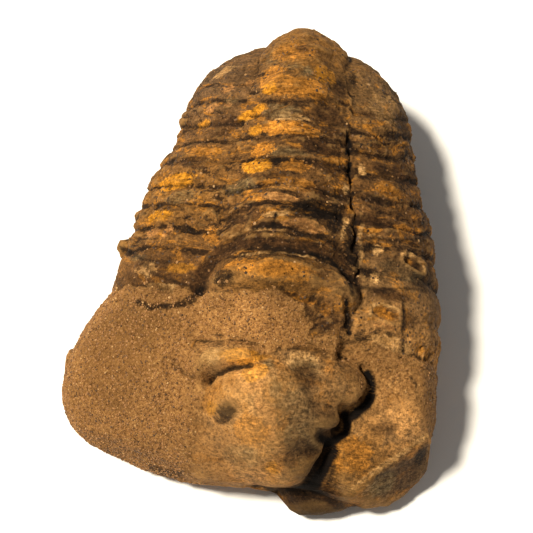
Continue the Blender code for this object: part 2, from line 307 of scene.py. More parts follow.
def distance_to_line(points, line):
    """How far each point lies from a line of straight stretches, with its height counted for less."""
    flatten = np.array([1, 1, HEIGHT_SHARE])
    points, line = points * flatten, np.array(line) * flatten
    nearest = np.full(len(points), np.inf)
    for start, end in zip(line, line[1:]):
        step = end - start
        u = np.clip((points - start) @ step / max(step @ step, 1e-9), 0, 1)
        nearest = np.minimum(nearest, np.linalg.norm(points - start - u[:, None] * step, axis=1))
    return nearest


def mottle(points, size, layers=3, roughness=1.0, shift=0.0):
    """Natural unevenness of about that size, from -1 to 1, for points in millimetres."""
    at = points / size + shift
    return np.array([noise.fractal(p, roughness, 2.0, layers) for p in at])


SPHERE_CUTS = 127
# Under 1, this draws the mesh's points up to the back, where the detail is.
CROWD_UP = 0.74


def crowded_sphere():
    """A quad sphere whose points are drawn towards +Z."""
    mesh = bmesh.new()
    bmesh.ops.create_cube(mesh, size=2)
    bmesh.ops.subdivide_edges(mesh, edges=mesh.edges[:], cuts=SPHERE_CUTS, use_grid_fill=True)
    unit = np.tan(np.array([vert.co[:] for vert in mesh.verts]) * math.pi / 4)
    unit /= np.linalg.norm(unit, axis=1)[:, None]
    flat = unit[:, :2] / np.maximum(1 + unit[:, 2], 1e-6)[:, None] * CROWD_UP
    square = (flat**2).sum(1)
    crowded = np.stack([2 * flat[:, 0], 2 * flat[:, 1], 1 - square], 1) / (1 + square)[:, None]
    crowded[unit[:, 2] < -0.9999] = (0, 0, -1)
    return mesh, crowded


def plain_body(unit):
    """Points of the plain body: each point of the unit sphere goes to the cross-section at its own y."""
    y = FRONT_Y + (unit[:, 1] + 1) / 2 * (REAR_Y - FRONT_Y)
    ring = np.hypot(unit[:, 0], unit[:, 2]) + 1e-9
    across, up = unit[:, 0] / ring, unit[:, 2] / ring
    front = np.clip((FRONT_Y + FRONT_CAP - y) / FRONT_CAP, 0, 1)
    rear = np.clip((y - REAR_Y + REAR_CAP) / REAR_CAP, 0, 1)
    right = along(RIGHT_HALF_WIDTH, y) * rounded(front, FRONT_WIDTH_POWER["right"])
    left = along(LEFT_HALF_WIDTH, y) * rounded(front, FRONT_WIDTH_POWER["left"])
    half_width = np.where(across > 0, right, left) * rounded(rear, REAR_POWER)
    top = (along(BACK_Z, y) - EDGE_Z) * rounded(front, FRONT_HEIGHT_POWER) * rounded(rear, REAR_POWER)
    belly_front, belly_rear = BELLY_END_POWERS
    bottom = (EDGE_Z + BELOW_FLOOR) * rounded(front, belly_front) * rounded(rear, belly_rear)
    tall = np.where(up > 0, top, bottom)
    back_power = np.where(across > 0, SECTION_POWER["right"], SECTION_POWER["left"])
    power = np.where(up > 0, back_power, BELLY_POWER)
    stretch = (np.abs(across) ** power + np.abs(up) ** power) ** (-1 / power)
    return np.stack([half_width * across * stretch, y, EDGE_Z + tall * up * stretch], 1)


def back_station(y, z):
    """How far back a point lies along the back: its y, and then the arc round the curl."""
    curl = np.arctan2(y - HINGE_Y, z - HINGE_Z)
    return np.where(y > HINGE_Y, HINGE_Y + CURL_RADIUS * curl, y)


def flank_share(x, y, z, station):
    """0 at the axis furrow and 1 at the rib tips, measured as an angle about the spine."""
    height = np.where(y > HINGE_Y, np.hypot(y - HINGE_Y, z - HINGE_Z) + HINGE_Z, z) - SPINE_Z
    angle = np.degrees(np.arctan2(np.abs(x), height))
    inner = np.degrees(np.arctan2(along(AXIS_HALF_WIDTH, station), FURROW_HEIGHT))
    return (angle - inner) / (TIP_ANGLE - inner)


def segment_phase(station, edges):
    """The segment's number and how far through it the station lies, as one number."""
    count = len(edges)
    return np.interp(station, edges, np.arange(count), left=-0.999, right=count - 1)


def rib_phase(x, station, flank):
    """The phase on the flank: it runs from the ring beside the axis out to the rib's own tip."""
    outward = ease(0, 1, flank)
    tips = np.where(
        x > 0, segment_phase(station, RIGHT_RIB_ENDS), segment_phase(station, LEFT_RIB_ENDS)
    )
    return (1 - outward) * segment_phase(station, RING_EDGES) + outward * tips


def stray(points):
    """How far the rings and furrows stray from their true lines, in millimetres, across and along."""
    across = 0.8 * mottle(points, 5.0, 3, 0.9, 14.2) + 0.22 * mottle(points, 1.3, 2, 0.9, 6.4)
    back = 0.7 * mottle(points * (0.5, 1.2, 0.8), 5.5, 4, 0.9, 3.9)
    return across, back


def sand_cover(x, y, z):
    """Above 0.5 where sandy rock still covers the shell, and between 0 and 0.5 where a film of it does."""
    at = np.stack([x, y, z], 1)
    ragged = 1.2 * mottle(at, 3.2, 4, 0.8, 4.2)
    coarse = 2.4 * mottle(at, 6.0, 4, 0.9, 2.6)
    inner = CRUST_INNER_X + 1.2 * ease(-12, -14, y)
    wide = 1.4 + 2.6 * ease(-12, -14, y)
    cheek = ease(inner + wide, inner - wide, x + ragged * 1.4)
    cheek = cheek * ease(*CRUST_REAR_Y, y + 0.10 * (x + 10) + ragged)
    neck = ease(*NECK_RIGHT_X, x + coarse) * ease(*NECK_REAR_Y, y + 0.5 * ragged) * ease(*NECK_FRONT_Y, y)
    low_neck = ease(-8.6, -10.4, y + ragged) * ease(-13.2, -11.2, y + coarse) * ease(-10, -8, x)
    right_cheek = ease(8.0, 10.5, x) * ease(-9.0, -12.0, y + ragged) * ease(-22, -15, y + coarse)
    head = ease(6.0, -6.0, x + coarse) * ease(-10, -12, y)
    films = LOW_NECK_FILM * low_neck, CHEEK_FILM * right_cheek, HEAD_FILM * head
    return np.max((cheek, neck, *films), axis=0)


def axis_relief(x, z, station, cover):
    """The raised axis with its rings."""
    half_width = along(AXIS_HALF_WIDTH, station)
    across = x / half_width
    here = ease(*AXIS_START, station)
    arch = rounded(across, AXIS_ARCH)
    depth = np.where(x > 0, along(RIGHT_FURROW_DEPTH, station), 0)
    gentle = np.where(x < 0, ease(0.0, -0.1, across), 0.95 - depth)
    gentle = 0.60 + (gentle - 0.60) * ease(40, 30, station)
    lobe = along(AXIS_RISE, station) * (arch + gentle * (ease(1.1, 0.0, np.abs(across)) - arch))
    phase = segment_phase(station + along(RING_BOW, station) * across**2, RING_EDGES)
    number = np.clip(np.floor(phase).astype(int), 0, len(RING_RISE) - 1)
    part = phase - np.floor(phase)
    bulge = 0.6 - np.abs(2 * part - 1) ** 2.4
    rings = np.array(RING_RISE)[number] * bulge * rounded(across, 4) * (1 - 0.7 * cover)
    rings = rings + DOME_STEP * ease(-0.3, 0.3, station - DOME_STATION) * rounded(across, 3)
    gap = (np.abs(x) - half_width) / AXIS_FURROW_WIDTH
    furrow = depth * np.exp(-(gap**2)) * (1 - 0.8 * cover) * (z > HINGE_Z)
    return here * (lobe + rings - furrow)


def rib_relief(x, station, flank, cover):
    """The ribs of the two flanks: each is a ridge with a shallow furrow along it."""
    phase = rib_phase(x, station, flank)
    part = phase - np.floor(phase)
    ridge = 0.6 - np.abs(2 * part - 1) ** 2.4
    groove = np.exp(-(((part - 0.45) / 0.12) ** 2))
    tips = 1.04 - 0.34 * ease(22, 38, station)
    on_flank = ease(0.0, 0.06, flank) * ease(tips + 0.06, tips - 0.06, flank)
    here = ease(*RIBS_START, station) * ease(12.4, 10.4, phase) * (1 - 0.7 * ease(8.6, 9.8, phase))
    size = RIB_RISE * (0.55 + 0.6 * ease(0.2, 1.0, flank))
    return here * on_flank * (1 - 0.85 * cover) * size * (ridge - 0.22 * groove * ease(1, 0.7, flank))


def plane_reach(start, ray, point, normal):
    """How far along each ray the plane through the point lies."""
    facing = np.maximum(ray @ np.array(normal), 1e-3)
    return ((np.array(point) - start) @ np.array(normal)) / facing


def main_form(unit):
    """The main shapes of the fossil, in millimetres, for points of the unit sphere."""
    body = plain_body(unit)
    x, y, z = body.T
    start = np.stack(
        [np.zeros_like(x), np.clip(y, SPINE_FRONT_Y, SPINE_REAR_Y), np.full_like(x, SPINE_Z)], 1
    )
    ray = body - start
    reach = np.linalg.norm(ray, axis=1)
    ray = ray / reach[:, None]
    across, back = stray(body)
    station = back_station(y, z) + back
    flank = flank_share(x + across, y, z, station)
    cover = ease(0.3, 0.7, sand_cover(x, y, z))
    reach = reach + axis_relief(x + across, z, station, cover)
    reach = reach + rib_relief(x, station, flank, cover)
    reach = reach - TIP_OVERHANG * ease(1.0, 1.12, flank) * ease(-9, -6, y) * ease(25, 16, y)
    for lump in CHEEK + RIM + CRUST_LUMPS:
        reach = blend_up(reach, lump.reach(start, ray), LUMP_BLEND)
    for point, normal in BREAKS:
        reach = -blend_up(-reach, -plane_reach(start, ray, point, normal), BREAK_BLEND)
    flat_top = -blend_up(-reach, -plane_reach(start, ray, *CHEEK_TOP), TOP_BLEND)
    reach = reach + ease(*CHEEK_X, x) * ease(*CHEEK_Y, y) * (flat_top - reach)
    from_loaf = distance_to_line(start + ray * reach[:, None], LOAF_LINE) / LOAF_HALF_WIDTH
    reach = reach + LOAF_RISE * ease(1.0, 0.15, from_loaf)
    level = 1.6 + 4.0 * np.maximum(ease(-3.0, -8.0, x), ease(-16, -12, y))
    for lump in GLABELLA:
        reach = blend_up(reach, lump.reach(start, ray), level)
    for lump in SIDE_LOBES:
        right = (start + ray * reach[:, None])[:, 0] - lump.centre[0]
        softness = 3.0 - 2.2 * ease(0.5, 3.0, right)
        reach = blend_up(reach, lump.reach(start, ray, softness), LUMP_BLEND)
    points = start + ray * reach[:, None]
    wobble = FURROW_WOBBLE * np.stack([mottle(points, 1.8, 3, 0.8, shift) for shift in (1.7, 8.8, 5.1)], 1)
    for line, depth, half_width in FURROWS:
        away = distance_to_line(points + wobble, line)
        reach = reach - depth * np.exp(-((away / half_width) ** 3))
    reach = reach - PIT_DEPTH * np.exp(-((distance_to_line(points, PIT) / PIT_RADIUS) ** 2))
    points = start + ray * reach[:, None]
    reach = reach + UNEVENNESS * mottle(points, 7.0)
    return start + ray * reach[:, None]


def is_head(x, y):
    """1 on the glabella, the right cheek and the rim, where no rings or ribs run."""
    return ease(*HEAD_Y, y) * ease(*HEAD_X, x)


def bedding(points):
    """Where each point lies in the shell's own grain: out along its rib, back across the ribs, and up."""
    x, y, z = points.T
    across, back = stray(points)
    x = x + across
    station = back_station(y, z) + back
    flank = flank_share(x, y, z, station)
    bow = along(RING_BOW, station) * np.clip(x / along(AXIS_HALF_WIDTH, station), -1, 1) ** 2
    phase = np.where(
        flank > 0, rib_phase(x, station, flank), segment_phase(station + bow, RING_EDGES)
    )
    out = np.sign(x) * np.hypot(x, np.minimum(z - 24, 0))
    head = is_head(x, y)
    across = (1 - head) * phase * RIB_PITCH + head * y * 0.9
    return np.stack([out, across, 0.3 * z], 1), phase


def from_joint(phase):
    """How far each point lies from where two rings or ribs meet, in millimetres."""
    return np.abs(phase - np.round(phase)) * RIB_PITCH


def on_first_ring(phase):
    """1 on the first ring's crest, which is smooth, falling to 0 beside it."""
    return np.exp(-(((phase - FIRST_CREST) / 0.5) ** 2))


def shell_wear(points, bed, phase, sand, head):
    """How far the shell's surface stands out or in, from its flaked layers, joints and cracks."""
    z = points[:, 2]
    shell = (1 - sand) * (1 - head) * (1 - ease(*WORN_BELOW_Z, z))
    flaky = 0.25 + 0.75 * ease(-0.15, 0.25, mottle(points, 5.0, 2, 1.0, 12.5)) * ease(9.3, 8.4, phase)
    grain = bed * (1 / 6.5, 1 / 2.4, 0.2)
    layers = 2.2 * mottle(grain, 1.0, 5, 0.8, 7.7) + 3
    step = np.floor(layers) + ease(0.38, 0.62, layers - np.floor(layers))
    flakes = FLAKE_THICKNESS * (step - 3) * flaky
    creases = -0.07 * ease(0.12, 0.0, np.abs(mottle(bed * (1 / 6.0, 1 / 1.1, 0.2), 1.0, 2, 0.9, 1.3)))
    wander = 0.22 * mottle(points, 1.6, 3, 0.8, 9.1)
    open_here = ease(-0.10, 0.30, mottle(points, 4.0, 3, 1.0, 2.5)) * ease(9.4, 8.6, phase)
    crack = np.exp(-(((from_joint(phase) + wander) / JOINT_HALF_WIDTH) ** 2))
    joints = -JOINT_DEPTH * crack * open_here * (phase > FIRST_JOINT)
    rough = 0.16 * mottle(points, 1.5, 4, 0.7, 5.5)
    rings = (1 - 0.6 * on_first_ring(phase)) * (flakes + creases * flaky + rough)
    wear = shell * (rings + joints)
    grit = 0.16 * mottle(points, 2.4, 3, 0.9, 3.3) + 0.09 * mottle(points, 0.8, 2, 0.8, 6.1)
    wear = wear + sand * (grit + SAND_THICKNESS)
    skin = 0.10 * mottle(points, 2.8, 3, 0.9, 8.4) + 0.035 * mottle(points, 0.6, 2, 0.8, 1.9)
    wear = wear + head * (1 - sand) * skin
    stone = ease(*WORN_BELOW_Z, z) * 0.30 * mottle(points, 3.0, 5, 0.8, 2.2)
    return wear + stone * (1 - sand)


def seam_band(points, phase, head):
    """1 where two rings or ribs meet, falling to 0 inside each. The dark band is wider on the right."""
    half_width = 0.7 + 0.6 * ease(-2.0, 4.0, points[:, 0])
    on_rings = (1 - head) * ease(12.6, 9.0, phase) * (phase > FIRST_JOINT)
    return on_rings * ease(1, 0, from_joint(phase) / half_width)


# Oval scars whose rims stand up: a centre, the half-lengths across and along, a turn in degrees, how
# far the rim stands up and how far the floor is sunk.
SCARS = (
    ((16.5, 1.9, 21), 1.4, 0.80, -10, 0.30, 0.30),
    ((13.5, -5.6, 22), 1.8, 0.85, -4, 0.35, 0.05),
    ((10.6, 16.3, 22), 1.0, 0.6, 0, 0.20, 0.05),
    ((-13.3, 7.1, 22), 1.6, 0.7, 4, 0.25, 0.05),
)


def in_oval(points, centre, half_across, half_along, turn):
    """Where each point lies in an oval seen from above: out across it and along it, 1 at the edge."""
    yaw = math.radians(turn)
    dx, dy = points[:, 0] - centre[0], points[:, 1] - centre[1]
    u = (dx * math.cos(yaw) + dy * math.sin(yaw)) / half_across
    v = (dy * math.cos(yaw) - dx * math.sin(yaw)) / half_along
    return u, v


def scar_relief(points):
    relief = np.zeros(len(points))
    for centre, half_across, half_along, turn, rim_rise, sink in SCARS:
        u, v = in_oval(points, centre, half_across, half_along, turn)
        out = (np.abs(u) ** 3 + np.abs(v) ** 3) ** (1 / 3)
        near = np.abs(points[:, 2] - centre[2]) < 4
        rim = np.exp(-(((out - 1.15) / 0.30) ** 2))
        relief += near * (rim_rise * rim - sink * ease(1.05, 0.80, out))
    return relief


def mean_of_neighbours(values, edges, rounds):
    """Each vertex's value, evened out with its neighbours' that many times."""
    count = len(values)
    a, b = edges.T
    degree = np.bincount(a, minlength=count) + np.bincount(b, minlength=count)
    for _ in range(rounds):
        columns = []
        for column in values.T:
            total = np.bincount(a, column[b], count) + np.bincount(b, column[a], count)
            columns.append(0.5 * column + 0.5 * total / degree)
        values = np.stack(columns, 1)
    return values


def read_vectors(things, name):
    flat = np.empty(len(things) * 3, np.float32)
    things.foreach_get(name, flat)
    return flat.reshape(-1, 3).astype(float)


def put_in_scene(name, data):
    thing = bpy.data.objects.new(name, data)
    bpy.context.scene.collection.objects.link(thing)
    return thing


def reshape(mesh, points):
    """Moves a mesh's points to places given in millimetres, none of them outside the solid's box."""
    inside = np.clip(points, np.array(cad_box[0]) / MM, np.array(cad_box[1]) / MM)
    mesh.vertices.foreach_set("co", (inside * MM).astype(np.float32).ravel())
    mesh.update()
    return inside


mesh, unit = crowded_sphere()
for vert, point in zip(mesh.verts, main_form(unit)):
    vert.co = Vector(point) * MM
skin = bpy.data.meshes.new("fossil")
mesh.to_mesh(skin)
mesh.free()
skin.shade_smooth()
fossil = put_in_scene("fossil", skin)

form = read_vectors(skin.vertices, "co") / MM
pairs = np.empty(len(skin.edges) * 2, np.int32)
skin.edges.foreach_get("vertices", pairs)
pairs = pairs.reshape(-1, 2)
in_cut = np.zeros(len(form))
for line, depth, half_width in FURROWS:
    if depth > DEEP_CUT:
        in_cut = np.maximum(in_cut, ease(2.2, 1.0, distance_to_line(form, line) / half_width))
form += in_cut[:, None] * (mean_of_neighbours(form, pairs, 4) - form)
skin.vertices.foreach_set("co", (form * MM).astype(np.float32).ravel())
skin.update()
head = is_head(form[:, 0], form[:, 1])
cover = sand_cover(*form.T)
sand = ease(0.30, 0.75, cover)
bed, phase = bedding(form)
wear = shell_wear(form, bed, phase, sand, head) + scar_relief(form)
worn = reshape(skin, form + read_vectors(skin.vertex_normals, "vector") * wear[:, None])

# Hollows get dark dirt and painted shade, and raised places a painted highlight: the fine hollows between
# flakes, and the broad ones between rings.
normals = read_vectors(skin.vertex_normals, "vector")
hollow = np.zeros(len(worn))
for rounds, full_depth in ((6, 0.12), (60, 0.55)):
    depth = ((mean_of_neighbours(worn, pairs, rounds) - worn) * normals).sum(1)
    hollow += 0.5 * np.clip(depth / full_depth, -1, 1)

# Stains: each is a place, its half-lengths across and along the body, a turn in degrees and how
# strongly it colours the stone. Iron gives the ochre and rust, manganese the black. Some tan lines
# are painted highlight, and some black lines are painted shadow.
STAINS = {}
STAINS["tan"] = (
    ((10.2, -1.6, 22), 0.5, 0.5, 0, 0.8), ((-0.9, 17.5, 27), 2.6, 0.6, 0, 0.7),
    ((-0.5, 7.8, 28), 2.6, 0.6, 0, 0.6), ((-1.4, 4, 28), 2, 0.4, 6, 0.8),
    ((8.9, 12.6, 23), 0.45, 0.8, 10, 1), ((7, 9.3, 25), 0.4, 0.5, 0, 1), ((7.4, 4.9, 25), 0.4, 0.5, 0, 1),
    ((7.2, 3.2, 26), 0.35, 1, 0, 1), ((11.6, -1.5, 22), 0.6, 0.8, 0, 1),
    ((11.6, 2.2, 22), 0.9, 0.75, 20, 0.9), ((10.6, 4, 22), 1.3, 0.55, 8, 0.6),
    ((14.5, -8.9, 19.3), 3.6, 1, -6, 0.6), ((3.4, -12.8, 21.6), 2.2, 1, 10, 0.6),
    ((-14.3, -5.4, 20.7), 3.2, 0.9, -4, 0.7), ((-10.4, 26.6, 19), 1.6, 0.8, 30, 0.6),
    ((13.8, -25.3, 8.9), 1.2, 0.8, 20, 0.7), ((-16.5, -2.6, 18), 2, 1.3, 0, 0.5),
    ((-7.4, -13.8, 23.5), 1.6, 1.1, 30, 1), ((11.4, 23, 20), 2.6, 2.6, 0, 0.35),
)
STAINS["pink"] = (
    ((-1.5, 6.3, 28), 2.4, 0.5, -6, 0.8), ((2.4, 2.9, 27.8), 2.9, 0.75, -2, 0.9),
    ((-17.2, 2.9, 19.2), 1, 0.7, 0, 0.7), ((-15, 2.8, 20.3), 0.6, 0.7, 0, 0.7),
    ((-9.5, 23.2, 20.6), 0.8, 0.6, 0, 0.7), ((-11.4, 20.4, 21), 1, 0.5, 0, 0.8),
    ((-9.2, 20.4, 22), 0.6, 0.5, 0, 0.8), ((-6.7, 23.7, 22), 0.5, 0.5, 0, 0.7),
    ((13.5, -7.2, 21.4), 1.7, 0.4, 0, 0.7), ((-2.6, -16.6, 24.8), 2.6, 1.6, 20, 0.5),
    ((0.2, -20.6, 23), 1.2, 3.2, 15, 0.6),
)
STAINS["grey"] = (
    ((-3.5, 15.2, 26.9), 1.2, 0.35, 0, 0.6), ((-4.2, 27.7, 23), 0.9, 1.2, 0, 0.6),
    ((-1, 25.3, 25.7), 1, 0.5, 0, 0.6), ((0.6, 24.7, 25.8), 0.7, 0.8, 0, 0.8),
    ((-1, 12.4, 27.9), 2.8, 0.6, 0, 0.6), ((-6.5, 8.1, 25.2), 1.9, 1, 10, 0.8),
    ((-2.3, 18.5, 26.4), 2.8, 0.9, 0, 0.6), ((-13.3, 7.2, 21.2), 2.6, 0.8, 0, 0.5),
    ((-8.8, 21, 21.4), 0.9, 0.6, 0, 0.6), ((-6.6, -15, 22), 1, 0.7, 20, 0.5),
    ((-0.4, -13.9, 24), 0.7, 0.8, 0, 0.8), ((3.6, -18.6, 24), 2.4, 4.4, 24, 0.4),
    ((4.4, -14, 23.3), 2, 1.2, 0, 0.6), ((4.9, -21.6, 20.4), 2.6, 2.6, 0, 0.6),
    ((1.4, -17, 24.6), 1.2, 1, 0, 0.7), ((-2.7, -24.6, 17.5), 2.6, 1.3, 0, 0.5),
    ((15.8, -24.4, 9.2), 2.2, 1.5, 40, 0.8), ((14.6, 0.4, 20.4), 3.4, 1.2, 0, 0.4),
    ((-16, -1, 18.5), 4, 0.6, -6, 0.5),
)
STAINS["rust"] = (
    ((-3.8, 23.7, 25.4), 1.8, 1.8, 0, 0.7), ((0, 21.8, 26.7), 4.4, 1.4, 0, 0.7),
    ((-1.6, 28, 24), 3, 1.6, 0, 0.6), ((-1.3, 15.9, 27.6), 4.8, 1, -2, 1), ((-4, 13, 26.6), 1.8, 0.9, 0, 1),
    ((0.4, 10.6, 28), 2.4, 0.8, 0, 0.7), ((0, 8.1, 28.1), 4.4, 0.9, 0, 0.6),
    ((-5.4, 6.3, 26.7), 2.8, 0.4, -8, 0.9), ((-9, 1.5, 22), 1, 1.2, 30, 0.7),
    ((-5.2, -3, 27), 2.2, 0.9, 20, 0.9), ((-0.6, -3.4, 28.3), 5.2, 1.3, -3, 0.9),
    ((1.5, -5.9, 26), 3.4, 0.5, -8, 1), ((5.7, -6.8, 24.5), 1, 0.6, 0, 0.8),
    ((14.5, 6, 19.9), 1.5, 0.7, 0, 0.7), ((12.2, 10.4, 21.2), 2.2, 1, 0, 0.5),
    ((16, 1.9, 20.8), 0.6, 0.4, 0, 1), ((13.5, -5.6, 21.6), 1.7, 0.75, -4, 1),
    ((10.9, -22.4, 14.4), 2.8, 2.2, 0, 0.7), ((-1.7, -22.1, 22.6), 2.2, 1.6, 0, 0.6),
    ((-12, 13.5, 21), 1.6, 1, 0, 0.5), ((-6.6, -18.2, 21), 1.8, 1.4, 0, 0.6),
)
STAINS["ochre"] = (
    ((-6.1, 18.6, 24.6), 2.2, 0.8, 22, 1), ((-5.2, 16, 26), 0.9, 0.8, 0, 0.8),
    ((-4.6, 10.8, 26.4), 1.9, 1, 0, 1), ((-14.5, 9.6, 20.1), 3.4, 1.1, 0, 1),
    ((-16, 5, 19.5), 2.4, 0.8, 3, 1), ((-12.3, 18.3, 18.7), 0.8, 0.7, 0, 0.8),
    ((-12.5, -2.6, 21.9), 2, 0.7, 0, 0.5), ((3, 24.6, 25.3), 1.4, 1.4, 0, 0.6),
    ((2, 24.9, 25.6), 0.5, 0.9, 0, 0.8), ((-3.9, 21.7, 25.7), 1, 0.8, 0, 0.9),
    ((-3.2, -13.4, 23.5), 3.4, 1, 6, 0.7), ((-1.8, -15.2, 25), 1.8, 1.3, 30, 0.6),
    ((-6.9, -19.7, 21.4), 0.9, 0.8, 0, 0.7), ((1.4, -25.4, 16.6), 1, 0.8, 0, 0.6),
    ((2, 4.6, 28), 1.6, 0.3, 8, 0.6),
)
STAINS["brown"] = (
    ((-0.2, 28.7, 24.1), 1, 0.7, 0, 0.8), ((2.6, 28.2, 24.1), 1.8, 0.4, 0, 0.5),
    ((5.2, 23.7, 24.4), 1.1, 1.8, 0, 0.8), ((4.3, 18.9, 26.3), 2.2, 1.2, 0, 0.8),
    ((4.9, 16.6, 26.1), 1.6, 0.9, 0, 0.7), ((3.5, 13.7, 27.1), 3, 1.2, 0, 0.9),
    ((5, 11.3, 26.4), 1.8, 1.4, 0, 0.8), ((4.2, 7.6, 27.5), 2.2, 0.9, 0, 0.7),
    ((-1.3, 9.3, 28), 2.6, 0.45, 0, 0.8), ((18.3, -22.8, 8), 2, 1.6, 45, 0.5),
    ((-5.8, 4.1, 26.7), 3.6, 1, 0, 0.5), ((-9.3, 17.1, 21.5), 1.8, 2, 0, 0.7),
    ((-12, 12, 20.5), 4.5, 1, 0, 0.5), ((-14.6, 19.6, 15.6), 0.8, 0.8, 0, 0.7),
    ((5.4, -3.3, 27.3), 2.2, 1.3, 0, 0.5), ((5.3, -7.4, 24.4), 2.8, 1.8, 0, 0.5),
    ((11.3, 13.5, 21), 1.5, 0.9, 0, 0.9), ((14.3, 14.2, 19.1), 1.7, 1.5, 0, 0.9),
    ((10.6, 16.9, 21.4), 1.5, 0.9, 0, 0.9), ((8.7, 20.6, 21.6), 1.2, 0.6, 0, 0.8),
    ((14, 21.5, 15.9), 1.4, 3, 10, 0.8), ((11.2, 5.8, 21.8), 1.9, 1, 0, 0.9),
    ((13.6, -3.1, 21), 3.6, 0.9, 4, 0.9), ((16.9, 1.6, 20.6), 0.8, 0.5, 0, 1),
    ((13.6, 0.6, 20.8), 2.6, 1.3, 0, 0.4), ((16.1, -5.6, 19.1), 1.6, 1.4, 0, 0.7),
    ((14.8, -18.8, 17.6), 2, 1.4, 20, 0.7), ((6.6, -27.9, 6.4), 4.2, 2.4, 0, 0.8),
    ((5.3, -24.2, 17.9), 2.8, 2.2, 0, 0.7), ((4.6, -15, 23), 1.5, 1.6, 20, 0.7),
    ((5.6, -18, 22), 0.8, 1.6, 30, 0.5), ((7.6, -20.4, 20.4), 2.6, 2, 0, 0.5),
    ((-4.9, -20.3, 23.1), 1.5, 1.2, 30, 1), ((-4, -19.6, 23.3), 0.9, 0.6, -30, 0.7),
    ((-23.5, -17, 10), 3, 8, 10, 0.35), ((-19.5, -13.5, 16), 5.5, 7, 0, 0.8),
    ((-14.5, -9.5, 20), 4, 1.6, 0, 0.6), ((-16.5, -9.8, 18.5), 7, 1.3, 8, 0.3),
    ((17.8, 5, 15), 1.2, 9, 4, 0.4),
)
STAINS["black"] = (
    ((6.6, 25.8, 20.3), 0.7, 1.4, 0, 0.8), ((0.2, 19.2, 27.4), 1.7, 0.35, 0, 0.9),
    ((3.3, 20.2, 26.6), 1.3, 0.5, 0, 0.9), ((-5.5, 14.9, 25.6), 0.9, 0.4, 0, 0.7),
    ((3.9, 5.2, 27.5), 4, 1.25, 6, 0.92), ((20.2, -20.4, 9.5), 1, 1.5, 0, 0.9),
    ((6, 3.7, 26.5), 1, 1.1, 0, 0.9), ((8.5, 1.5, 23.4), 1.1, 2.4, 10, 0.9),
    ((10.4, 2.1, 22.5), 1, 0.8, 0, 0.9), ((-6.8, -4.6, 26.8), 1.4, 1.1, 0, 0.9),
    ((-9.6, -5.2, 24.4), 0.9, 0.8, 0, 0.8), ((-11, -6.6, 21.5), 1.4, 0.8, 20, 0.85),
    ((-14.9, 13.5, 19.2), 2, 0.25, 0, 0.7), ((-13.4, 6.2, 20.6), 3, 0.25, 0, 0.6),
    ((14.6, 4.2, 20.2), 4.6, 0.3, 2, 0.85), ((8.8, -7.6, 22), 0.7, 0.9, 0, 0.9),
    ((13.2, -7.9, 20.5), 1.9, 0.35, 0, 0.8), ((1.8, -6, 26.4), 4, 0.35, -4, 0.5),
    ((10.6, 16.9, 21.4), 0.6, 0.4, 0, 0.6), ((-5, -20.6, 22.8), 1.3, 0.9, 20, 0.6),
)
# Stains that run along a line: the line, its half-width and how strong it is.
STAIN_LINES = {}
STAIN_LINES["tan"] = (
    (((-9.5, -10.8, 22), (-5.4, -11.2, 23), (-1.7, -11, 23), (3.2, -10.7, 24), (7, -10.5, 22)), 0.25, 0.8),
    (((-6.8, 1.4, 26), (-4.3, 2.1, 27), (0, 2, 28)), 0.15, 0.7),
    (((9.2, -1, 23), (9.8, 1, 22), (9.2, 3.4, 23), (9.6, 5.2, 22)), 0.3, 0.7),
    (((11.6, -6.4, 22), (11.6, -5, 22), (13.2, -4.6, 22), (15, -4.8, 21), (15.3, -6, 21)), 0.22, 1),
    (((14.9, 2.4, 21), (16.4, 2.9, 21), (18, 2, 20), (18.3, 1, 20)), 0.2, 0.8),
    # Painted highlight: a pale lit line along the upper edge of the first ring.
    (((-4.8, -1.3, 26), (-2.4, -1, 27), (0.4, -0.8, 27), (4, -0.9, 27)), 0.2, 0.7),
    # Painted highlight: the lit crest over the broken corner.
    (((11.5, -26.1, 9), (13.4, -24.5, 10), (15.1, -23, 11), (17.4, -21.3, 12), (20.4, -18.6, 12)),
     0.35, 0.7),
)
STAIN_LINES["brown"] = (
    (((-10.2, -5.6, 24), (-9.9, -3.6, 24), (-8.8, -1.7, 25), (-7.4, -0.4, 25), (-5.4, 0.4, 26),
      (-2.6, 0.2, 27), (0.2, 0.2, 28), (3.1, 0.4, 27), (5.7, 0.6, 27), (7.8, 0, 26), (8.7, -1.6, 25),
      (9.2, -3.6, 24)), 1, 0.95),
)
